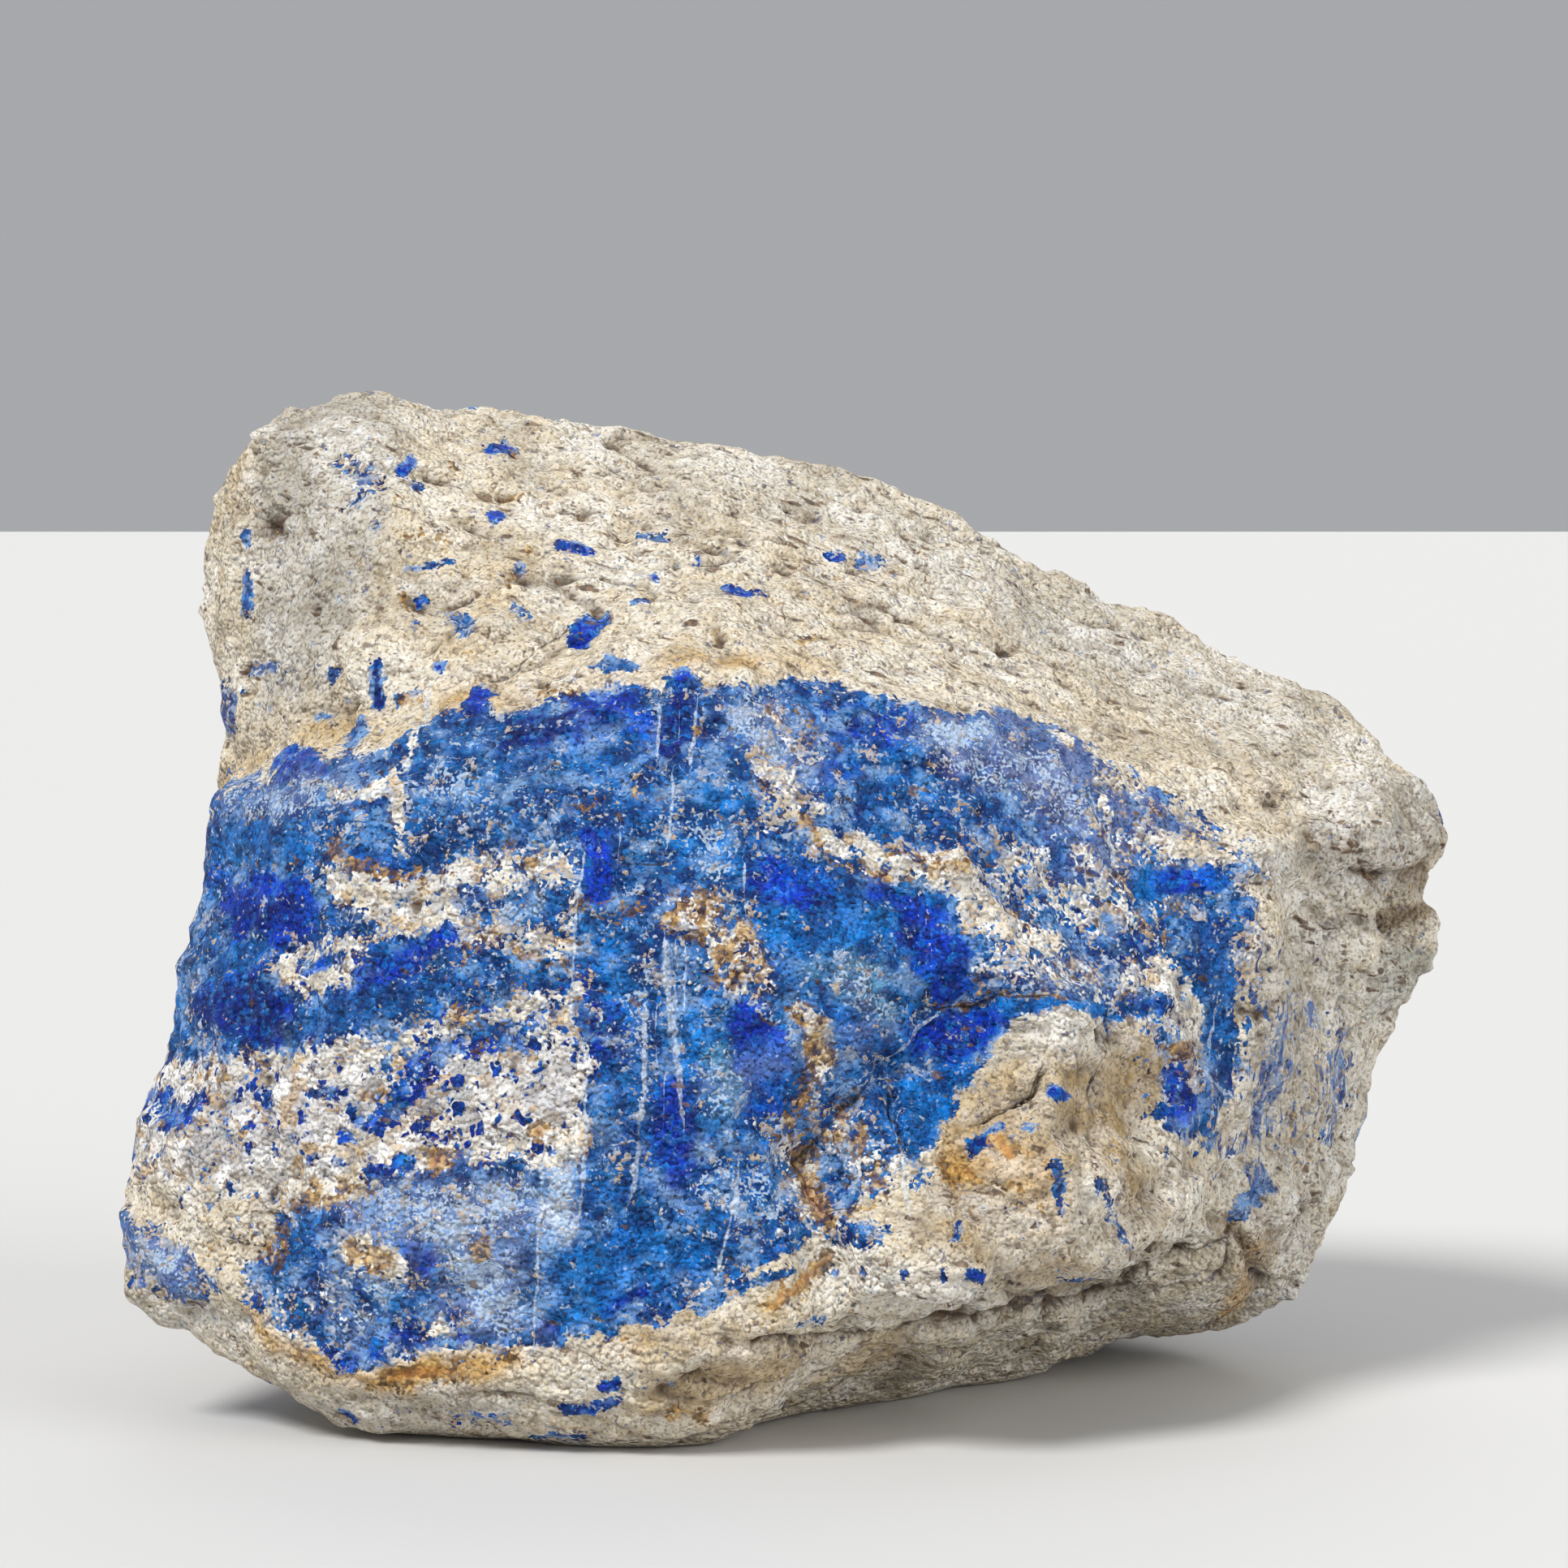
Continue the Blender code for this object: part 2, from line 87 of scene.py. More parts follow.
copy = bmesh.new()
copy.from_mesh(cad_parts["rough_stone"].data)
bmesh.ops.remove_doubles(copy, verts=copy.verts, dist=1e-6)
shell_mesh = bpy.data.meshes.new("shell")
copy.to_mesh(shell_mesh)
copy.free()
shell = bpy.data.objects.new("shell", shell_mesh)
bpy.context.scene.collection.objects.link(shell)
remesh = shell.modifiers.new("even faces", "REMESH")
remesh.mode = "VOXEL"
remesh.voxel_size = BASE_FACE
worn = shell.modifiers.new("worn facets", "SMOOTH")
worn.iterations = WEAR_STEPS
even = shell.evaluated_get(bpy.context.evaluated_depsgraph_get())
stone_mesh = bpy.data.meshes.new_from_object(even)
bpy.data.objects.remove(shell, do_unlink=True)
print("even faces:", len(stone_mesh.polygons))

# %% Refine the side that the photograph shows
EDGE_ON = 0.02  # a face is refined if it turns to the camera by more than this
FINE_WEAR_STEPS = 2

fine = bmesh.new()
fine.from_mesh(stone_mesh)
shown_edges = set()
for face in fine.faces:
    if (EYE - face.calc_center_median()).normalized().dot(face.normal) > EDGE_ON:
        shown_edges.update(face.edges)
bmesh.ops.subdivide_edges(fine, edges=list(shown_edges), cuts=1, use_grid_fill=True)
bmesh.ops.triangulate(fine, faces=fine.faces)
for round_number in range(FINE_WEAR_STEPS):
    bmesh.ops.smooth_vert(
        fine, verts=fine.verts, factor=0.5, use_axis_x=True, use_axis_y=True, use_axis_z=True)
fine.to_mesh(stone_mesh)
fine.free()
stone = bpy.data.objects.new("rough_stone_surface", stone_mesh)
bpy.context.scene.collection.objects.link(stone)
print("fine triangles:", len(stone_mesh.polygons))

# %% [markdown]
# ## Where each vertex is seen
# We work on whole arrays with numpy. `spots` holds the picture position of every vertex in
# pixels, bent a little by noise so that painted borders look grown, and `shown` is 1 where the
# surface faces the camera and fades to 0 as it turns away. The crystals, rust, soil and thin
# lines use `near_spots`, which are bent less, so that they stay where they belong.

# %% Arrays of places, normals and picture spots
BENDS = [(11, 13), (4.5, 8), (2.2, 5)]  # size in mm, and reach in pixels
NEAR_BEND = 0.3  # the share of those bends in near_spots
FADE = 0.22  # how slowly the painted side fades out behind the skyline


def read(field):
    values = np.empty(len(stone_mesh.vertices) * 3, np.float32)
    stone_mesh.vertices.foreach_get(field, values)
    return values.reshape(-1, 3).astype(float)


def unevenness(places, size_mm, seed=0.0):
    """Smooth noise from about -1 to 1 whose lumps are size_mm across."""
    offset = Vector((seed, seed, seed))
    return np.array([noise.noise(Vector(place) + offset) for place in places / (size_mm * MM)])


def pictured(places):
    sight = places - np.array(EYE)
    depth = sight[:, 1] * math.cos(EYE_TILT) - sight[:, 2] * math.sin(EYE_TILT)
    rise = sight[:, 1] * math.sin(EYE_TILT) + sight[:, 2] * math.cos(EYE_TILT)
    across = PICTURE_CENTRE_PX + FOCAL_PX * sight[:, 0] / depth
    return np.stack((across, PICTURE_CENTRE_PX - FOCAL_PX * rise / depth), 1)


places, normals = read("co"), read("normal")
straight_spots = pictured(places)
spots = straight_spots.copy()
for size_mm, reach_px in BENDS:
    spots[:, 0] += reach_px * unevenness(places, size_mm, 3.0)
    spots[:, 1] += reach_px * unevenness(places, size_mm, 9.0)
near_spots = straight_spots + NEAR_BEND * (spots - straight_spots)
to_eye = np.array(EYE) - places
to_eye /= np.linalg.norm(to_eye, axis=1)[:, None]
turned = (normals * to_eye).sum(1)
shown = np.clip(1 + turned / FADE, 0, 1)
print("vertices:", len(places), "shown:", int((shown > 0.5).sum()))

# %% [markdown]
# ## Brushes
# A marking is drawn the way a painter would: a line of (across, down, half width) points is a
# brush stroke, and a ring of (across, down) points is an area. Both return how deep inside the
# marking a spot lies, in pixels, so one soft step turns either into a mask.

# %% Strokes, areas and soft steps
def stroke_depth(spots, line):
    """How far inside a brush stroke each spot lies, in pixels. Below 0 is outside."""
    depth = np.full(len(spots), -1e4)
    line = np.array(line, float)
    starts, ends = (line[:-1], line[1:]) if len(line) > 1 else (line, line)
    for start, end in zip(starts, ends):
        way = end[:2] - start[:2]
        share = np.clip((spots - start[:2]) @ way / max(way @ way, 1e-9), 0, 1)
        gap = np.linalg.norm(spots - start[:2] - share[:, None] * way, axis=1)
        depth = np.maximum(depth, start[2] + (end[2] - start[2]) * share - gap)
    return depth


def area_depth(spots, ring):
    """How far inside an outline each spot lies, in pixels. Below 0 is outside."""
    inside = np.zeros(len(spots), bool)
    ring = np.array(ring, float)
    for start, end in zip(ring, np.roll(ring, -1, 0)):
        crosses = (start[1] > spots[:, 1]) != (end[1] > spots[:, 1])
        slope = (end[0] - start[0]) / (end[1] - start[1] + 1e-9)
        inside ^= crosses & (spots[:, 0] < start[0] + slope * (spots[:, 1] - start[1]))
    border = -stroke_depth(spots, [(x, y, 0) for x, y in [*ring, ring[0]]])
    return np.where(inside, border, -border)


def inside(spots, shape, softness_px):
    """A mask from 0 outside to 1 inside, with a soft border."""
    depth = stroke_depth(spots, shape) if len(shape[0]) == 3 else area_depth(spots, shape)
    step = np.clip(0.5 + depth / softness_px, 0, 1)
    return step * step * (3 - 2 * step)


print("a spot inside a stroke:", inside(np.array([[5.0, 0.0]]), [(0, 0, 8), (10, 0, 8)], 4))

# %% [markdown]
# ## Relief
# Up close the stone is anything but smooth. Cracks, seams, pits and low ridges are drawn with the
# brushes. Then comes roughness of four kinds: soft lumps, sharp little arrises between broken
# facets, long flow lines where the marble was folded, and fine creases.

# %% Cracks, grooves and ridges of the seen side
GROOVES = [  # height in mm, softness in pixels, stroke
    (-2.4, 10, [(1280, 1316, 3), (1270, 1340, 5), (1236, 1366, 4), (1206, 1384, 3)]),
    (-2.4, 8, [(1093, 1340, 3), (1096, 1362, 5), (1102, 1388, 5), (1105, 1414, 3)]),
    (-1.2, 10, [(1084, 1314, 3), (1048, 1363, 5), (1013, 1404, 5), (988, 1432, 4), (1012, 1490, 5)]),
    (-0.9, 10, [(1150, 1244, 4), (1200, 1240, 5), (1236, 1230, 3), (1300, 1226, 3)]),
    (-0.9, 6, [(764, 1060, 3), (826, 1058, 4)]),
    (-1.2, 14, [(1630, 1146, 5), (1664, 1138, 7), (1690, 1138, 4)]),
    (-1.6, 14, [(1618, 1104, 4), (1660, 1080, 6), (1712, 1074, 5), (1760, 1076, 3)]),
    (-2.2, 12, [(937, 1654, 4), (1013, 1658, 7), (1146, 1636, 7), (1294, 1618, 6), (1400, 1596, 4)]),
    (-1.9, 12, [(1516, 1529, 4), (1418, 1564, 6), (1355, 1596, 6), (1239, 1620, 4)]),
    (-1.6, 18, [(1236, 1662, 6), (1262, 1664, 9), (1284, 1656, 5)]),
    (-1.0, 14, [(834, 1706, 5), (870, 1712, 9), (914, 1712, 5)]),
    (-0.9, 12, [(698, 770, 3), (660, 800, 5), (631, 824, 5), (573, 837, 3)]),
    (-1.0, 14, [(292, 930, 4), (386, 888, 5), (480, 862, 4)]),
    (-1.2, 12, [(1368, 1256, 4), (1360, 1300, 5), (1350, 1350, 5), (1342, 1396, 3)]),
    (0.9, 14, [(1240, 1262, 5), (1290, 1256, 9), (1346, 1262, 7)]),
    (0.7, 16, [(1400, 1290, 6), (1404, 1350, 9), (1388, 1400, 6)]),
    (0.5, 8, [(720, 1335, 3), (716, 1480, 3)]),
    (0.5, 8, [(795, 1250, 3), (788, 1400, 5), (778, 1478, 3)]),
    (0.5, 8, [(822, 1168, 3), (826, 1230, 4), (841, 1368, 3)]),
    (1.0, 18, [(360, 944, 12), (384, 940, 12)]),
    (0.8, 16, [(847, 838, 12)]),
    (0.8, 24, [(1008, 1036, 12), (1090, 1056, 12), (1200, 1080, 12)]),
    (0.9, 22, [(152, 1500, 10), (200, 1540, 14), (216, 1570, 10)]),
    (-1.5, 16, [(1500, 1500, 4), (1540, 1540, 8), (1560, 1590, 9), (1530, 1612, 5)]),
    (1.1, 14, [(1650, 1430, 4), (1624, 1520, 7), (1580, 1596, 6)]),
    (-1.5, 12, [(1596, 1440, 5), (1626, 1488, 8), (1600, 1504, 6)]),
    (-0.8, 9, [(1556, 1180, 3), (1562, 1280, 4), (1546, 1390, 4)]),
    (-0.8, 9, [(1606, 1190, 3), (1608, 1300, 4), (1592, 1430, 4)]),
    (-0.8, 9, [(1652, 1200, 3), (1662, 1300, 4), (1650, 1420, 4)]),
    (0.7, 12, [(1582, 1180, 4), (1586, 1300, 5), (1570, 1410, 4)]),
    (0.7, 12, [(1630, 1180, 4), (1636, 1300, 5), (1620, 1430, 4)]),
    (1.0, 16, [(1180, 1612, 5), (1300, 1572, 8), (1420, 1506, 8), (1500, 1430, 5)]),
    (-1.1, 12, [(1300, 1540, 4), (1380, 1504, 6), (1440, 1450, 5)]),
    (-1.2, 12, [(1330, 1610, 4), (1430, 1566, 6), (1500, 1500, 5)]),
    (-1.0, 14, [(1150, 1420, 4), (1182, 1470, 6), (1160, 1540, 5)]),
    (-1.1, 14, [(1560, 1060, 4), (1600, 1100, 7), (1620, 1140, 6)]),
    (-0.9, 14, [(1640, 1010, 4), (1700, 1034, 6), (1770, 1030, 4)]),
    (1.0, 16, [(1620, 1122, 5), (1700, 1162, 8), (1760, 1186, 5)]),
    (-1.2, 14, [(1640, 1200, 5), (1700, 1215, 7), (1750, 1200, 5)]),
    (0.8, 16, [(1530, 1060, 5), (1545, 1150, 7), (1552, 1230, 5)]),
    (-1.0, 14, [(1240, 1500, 5), (1290, 1470, 8), (1330, 1420, 5)]),
    (0.8, 16, [(1200, 1450, 7), (1250, 1440, 9), (1290, 1420, 6)]),
]
PITS = [  # across and down in pixels
    (369, 543), (506, 737), (532, 584), (624, 611), (668, 848), (723, 626), (794, 607), (839, 701),
    (853, 741), (883, 779), (898, 633), (963, 702), (976, 633), (1049, 701), (1108, 761), (1138, 703),
    (1180, 835), (1240, 803), (1300, 815), (1360, 900), (1480, 940), (1560, 985), (330, 1500),
    (346, 1548), (1210, 1500), (1290, 1602), (1560, 1460), (1604, 1490),
]
PIT_DEPTH = 1.2  # in mm
lift = np.zeros(len(places))
for height, softness, line in GROOVES:
    lift += height * inside(spots, line, softness) * shown
pits = np.zeros(len(places))
for across, down in PITS:
    pit = [(across - 5, down - 1, 4), (across + 7, down + 2, 3)]
    pits = np.maximum(pits, inside(spots, pit, 9) * shown)
lift -= PIT_DEPTH * pits
print("drawn relief from", round(lift.min(), 2), "to", round(lift.max(), 2), "mm")

# %% [markdown]
# The blue face lies a little lower than the cream rind round it, because the break followed
# the lapis. Its outline is also the first area that we paint blue, so it is defined here.

# %% The outline of the blue face
BLUE_FACE = [
    (210, 1012), (256, 1000), (300, 968), (345, 948), (400, 938), (452, 915), (520, 892), (580, 880),
    (640, 868), (700, 852), (790, 840), (820, 836), (850, 822), (880, 848), (960, 833), (1040, 842),
    (1100, 852), (1175, 868), (1250, 882), (1300, 896), (1340, 925), (1366, 960), (1372, 1006),
    (1420, 968), (1462, 1006), (1440, 1046), (1520, 1058), (1540, 1086), (1540, 1140), (1524, 1200),
    (1522, 1300), (1496, 1400), (1440, 1404), (1432, 1310), (1400, 1250), (1366, 1272), (1346, 1246),
    (1290, 1246), (1240, 1262), (1196, 1330), (1160, 1376), (1140, 1412), (1104, 1430), (1092, 1470),
    (1024, 1504), (960, 1545), (880, 1600), (800, 1636), (700, 1650), (654, 1672), (590, 1668),
    (520, 1668), (420, 1684), (360, 1640), (300, 1600), (318, 1540), (345, 1490), (280, 1470),
    (100, 1440), (110, 1350), (140, 1280), (160, 1200), (180, 1130), (200, 1060),
]
FACE_DEPTH = 0.5  # in mm
face_share = inside(spots, BLUE_FACE, 12) * shown
lift -= FACE_DEPTH * face_share
print("the blue face covers", int((face_share > 0.5).sum()), "vertices")

# %% Roughness
def arrises(places, size_mm, seed):
    """0 in the middle of each broken facet and higher towards the sharp edges between facets."""
    offset = Vector((seed, seed, seed))
    return np.array([noise.voronoi(Vector(place) + offset)[0][0] for place in places / (size_mm * MM)])


FLOW_STRETCH = 0.72  # 0 leaves the lumps round, and 1 would draw them out without end
FOOT_KEPT = 0.6 * MM  # no relief up to this height, so that the flat spot stays flat
FOOT_FADE = 2 * MM  # and full relief this much higher
flow = np.array((0.95, 0.05, -0.30))
flow /= np.linalg.norm(flow)
along_flow = places - FLOW_STRETCH * (places @ flow)[:, None] * flow
rind_share = 1 - face_share
small_lumps, tiny_lumps = 0.6 * unevenness(places, 3.6, 2.0), 0.5 * unevenness(places, 2.0, 4.0)
lift += 0.9 * unevenness(places, 8, 1.0) + small_lumps
lift += tiny_lumps
lift += 1.1 * face_share * (arrises(places, 4.5, 6.0) - 0.5)
lift += 0.35 * rind_share * unevenness(along_flow, 1.9, 8.0)
lift -= 1.5 * rind_share * np.clip(unevenness(along_flow, 3.0, 7.0) - 0.12, 0, 1)
lift += 0.8 * rind_share * (arrises(places, 7.5, 4.0) - 0.5)
lift += 1.1 * (1 - shown) * (arrises(places, 7.0, 5.0) - 0.5)
crease = np.clip(1 - np.abs(unevenness(along_flow, 9, 57.0)) / 0.06, 0, 1)
crease *= np.clip(0.5 + 3 * unevenness(places, 18, 58.0), 0, 1) * (1 - 0.7 * face_share)
lift -= 0.9 * crease
# Painted shade with some dirt: the low spots, creases and pits are marked here to be darkened in the colour.
hollow_shade_and_dirt = np.clip(-0.2 - 1.4 * (small_lumps + tiny_lumps), 0, 1) + np.clip(-0.7 - 0.7 * lift, 0, 1)
hollow_shade_and_dirt = hollow_shade_and_dirt + 0.8 * crease + pits
standing = np.clip((places[:, 2] - FOOT_KEPT) / FOOT_FADE, 0, 1)
moved = places + normals * (lift * standing * MM)[:, None]
moved[:, 2] = np.maximum(moved[:, 2], 0)
stone_mesh.vertices.foreach_set("co", moved.astype(np.float32).ravel())
stone_mesh.update()
print("relief from", round(lift.min(), 2), "to", round(lift.max(), 2), "mm")

# %% [markdown]
# ## The marble's own colours, and painted shade
# The rind isn't one colour. It is grey on the left facet, partly its own colour and partly painted
# shade, cream on the slope, tan where iron has soaked in along the brow, and nearly white at the
# toe. The grey, umber and shade strokes along the undercut and in the crevice under the hump are
# painted shade. Each tint is a named paint, and the strokes lay it on softly in the order given.

# %% Paint pots
def linear(red, green, blue):
    """A colour as seen on a screen, from 0 to 255, in the linear values that Blender mixes."""
    values = np.array((red, green, blue)) / 255
    return np.where(values < 0.04045, values / 12.92, ((values + 0.055) / 1.055) ** 2.4)


PAINTS = {name: linear(*colour) for name, colour in {
    "cream": (228, 219, 202), "bone": (238, 238, 236), "grey": (196, 195, 192), "ash": (217, 213, 205),
    "tan": (218, 196, 156), "ochre": (204, 164, 96), "beige": (184, 160, 118), "umber": (138, 116, 90),
    "lichen": (166, 168, 160), "shade": (156, 149, 136), "olive": (152, 142, 108), "royal": (0, 50, 178),
    "deep": (0, 30, 118), "cobalt": (24, 84, 156), "azure": (10, 112, 194), "navy": (20, 42, 102),
    "slate": (66, 94, 152), "violet": (86, 94, 148), "haze": (130, 156, 202), "teal": (0, 92, 158),
    "lavender": (204, 207, 224), "mist": (92, 154, 182), "dusk": (40, 84, 144), "pale": (186, 198, 218),
}.items()}


def towards(colours, paint, share):
    """The colours moved towards a paint, by a share from 0 to 1 at each vertex."""
    return colours + (PAINTS[paint] - colours) * share[:, None]


print(len(PAINTS), "paints")

# %% Tints of the rind
ROCK_TINTS = [  # paint, strength, softness in pixels, shape
    ("bone", 0.8, 30, BLUE_FACE),
    # Partly painted shade: the left facet is grey in its own colour and also darker as a face turned away
    # from the light.
    ("grey", 0.9, 50, [(313, 540), (340, 500), (450, 480), (500, 520), (480, 640), (440, 760), (380, 850),
     (310, 870), (300, 700)]),
    ("tan", 0.6, 24, [(296, 560, 12), (262, 616, 16), (244, 680, 14)]),
    ("cream", 0.7, 30, [(252, 720, 16), (268, 800, 16), (300, 900, 12)]),
    ("ash", 0.8, 60, [(700, 520), (1000, 560), (1300, 700), (1600, 830), (1740, 940), (1600, 960),
     (1300, 800), (1000, 660), (760, 600)]),
    ("grey", 0.5, 40, [(1245, 760, 16), (1340, 790, 20), (1450, 840, 18), (1560, 900, 20)]),
    ("tan", 0.9, 30, [(286, 962, 16), (350, 922, 16), (420, 900, 16), (520, 868, 22), (600, 850, 26),
     (680, 836, 20)]),
    ("tan", 0.9, 26, [(690, 836, 16), (770, 815, 20), (850, 806, 20), (940, 812, 16), (1020, 822, 10)]),
    ("ochre", 0.55, 22, [(560, 872, 12), (610, 856, 12), (690, 846, 9), (760, 832, 8), (860, 812, 12),
     (930, 806, 6)]),
    ("tan", 0.5, 30, [(640, 700, 20), (600, 740, 24), (540, 800, 20)]),
    ("grey", 0.8, 34, [(1615, 970), (1700, 930), (1785, 985), (1784, 1050), (1750, 1100), (1640, 1110),
     (1600, 1060)]),
    ("lichen", 0.9, 24, [(1690, 1180), (1772, 1160), (1770, 1210), (1720, 1250), (1680, 1250)]),
    ("umber", 0.7, 26, [(1625, 1040, 10), (1690, 1060, 18), (1756, 1080, 10)]),
    # Painted shade: the dark of the crevice under the hump, in umber.
    ("umber", 0.9, 20, [(1632, 1146, 8), (1672, 1136, 12), (1716, 1132, 12), (1756, 1120, 8)]),
    ("bone", 0.9, 26, [(1536, 1050, 14), (1576, 1060, 22), (1600, 1110, 18)]),
    ("ash", 0.9, 30, [(1540, 1150), (1640, 1130), (1690, 1260), (1690, 1420), (1600, 1560), (1500, 1480),
     (1520, 1300)]),
    ("bone", 0.8, 24, [(1262, 1270, 16), (1310, 1262, 18), (1350, 1280, 16)]),
    ("grey", 0.7, 24, [(1240, 1300, 12), (1290, 1300, 16), (1340, 1310, 14)]),
    ("beige", 1.0, 18, [(1372, 1256), (1410, 1262), (1432, 1300), (1430, 1380), (1404, 1410),
     (1350, 1400), (1352, 1330)]),
    ("beige", 1.0, 24, [(1180, 1400, 18), (1230, 1440, 40), (1270, 1490, 40), (1250, 1540, 26)]),
    ("beige", 0.9, 50, [(1170, 1400), (1240, 1320), (1300, 1300), (1350, 1300), (1400, 1410),
     (1380, 1520), (1250, 1580), (1150, 1530)]),
    ("ochre", 0.75, 30, [(1160, 1430, 16), (1200, 1440, 30), (1240, 1410, 24), (1280, 1450, 30),
     (1300, 1500, 20)]),
    ("umber", 0.5, 24, [(1150, 1450, 10), (1190, 1470, 16), (1230, 1500, 16)]),
    ("umber", 0.6, 20, [(1500, 1510, 8), (1540, 1540, 12), (1556, 1590, 12)]),
    # Painted shade along the undercut, in grey.
    ("grey", 0.5, 40, [(1100, 1640, 12), (1250, 1620, 16), (1400, 1580, 16), (1500, 1500, 12)]),
    ("tan", 0.8, 26, [(1150, 1400, 12), (1200, 1350, 12), (1250, 1310, 8)]),
    ("umber", 0.5, 20, [(1176, 1396, 8), (1220, 1350, 9), (1262, 1326, 6)]),
    ("cream", 0.5, 26, [(1290, 1360, 12), (1330, 1440, 20), (1350, 1530, 20)]),
    ("bone", 0.8, 30, [(1040, 1560, 20), (1120, 1590, 26), (1200, 1600, 20)]),
    ("beige", 0.8, 36, [(1400, 1470, 20), (1460, 1440, 18), (1380, 1540, 24), (1300, 1590, 16)]),
    ("shade", 0.7, 24, [(1250, 1600, 10), (1310, 1590, 16), (1370, 1570, 14), (1440, 1530, 8)]),
    ("umber", 0.6, 30, [(1550, 1470, 12), (1570, 1530, 20), (1530, 1590, 16)]),
    ("ochre", 0.6, 22, [(1512, 1620, 10), (1534, 1590, 12)]),
    ("bone", 0.9, 22, [(1600, 1500, 8), (1590, 1580, 12), (1540, 1618, 6)]),
    ("bone", 0.9, 34, [(170, 1610, 14), (230, 1610, 26), (290, 1640, 12)]),
    ("grey", 0.6, 50, [(190, 1420, 24), (260, 1410, 34), (330, 1430, 24)]),
    ("lavender", 0.8, 50, [(120, 1330), (300, 1320), (480, 1320), (600, 1290), (700, 1300), (712, 1380),
     (600, 1400), (440, 1440), (220, 1440)]),
    ("ochre", 0.9, 20, [(300, 1612, 7), (350, 1660, 12), (430, 1690, 9), (500, 1694, 18), (570, 1690, 18),
     (640, 1672, 10)]),
    ("beige", 0.9, 20, [(660, 1660, 10), (720, 1650, 18), (800, 1640, 20), (860, 1610, 12)]),
    ("olive", 0.6, 18, [(672, 1652, 6), (740, 1640, 8), (800, 1622, 6)]),
    ("olive", 0.8, 14, [(900, 1556, 8), (950, 1540, 14), (1000, 1522, 8)]),
    ("tan", 0.7, 30, [(720, 1690, 14), (800, 1670, 18), (900, 1640, 16), (960, 1610, 12)]),
    ("ochre", 0.6, 16, [(745, 1668, 8), (790, 1660, 8)]),
    ("bone", 0.6, 40, [(360, 1730, 14), (500, 1745, 18), (620, 1740, 20), (700, 1720, 14)]),
    ("beige", 0.7, 30, [(800, 1740, 20), (900, 1700, 26), (1000, 1690, 20), (1100, 1660, 12)]),
]
rock_tint = np.tile(PAINTS["cream"], (len(places), 1))
for paint, strength, softness, shape in ROCK_TINTS:
    rock_tint = towards(rock_tint, paint, strength * inside(spots, shape, softness) * shown)
inner = np.clip(2.4 * unevenness(places, 5.5, 37.0), -1, 1) * face_share
cloud = np.clip(2.2 * unevenness(places, 13, 33.0), -1, 1)
rock_tint = towards(rock_tint, "tan", 0.6 * np.maximum(inner, 0))
rock_tint = towards(rock_tint, "bone", 0.6 * np.maximum(cloud, 0))
rock_tint = towards(rock_tint, "shade", 0.35 * np.maximum(-cloud, 0))
print("tints laid on:", len(ROCK_TINTS))

# %% [markdown]
# ## The lapis
# `lapis` says which share of the grains is blue at each vertex, from none at 0 to all at 1. The
# material later compares it with a grainy noise, so 0.3 gives scattered blue grains and 0.9
# gives solid blue with a few white flecks. `blue_tint` is the paint of those blue grains.

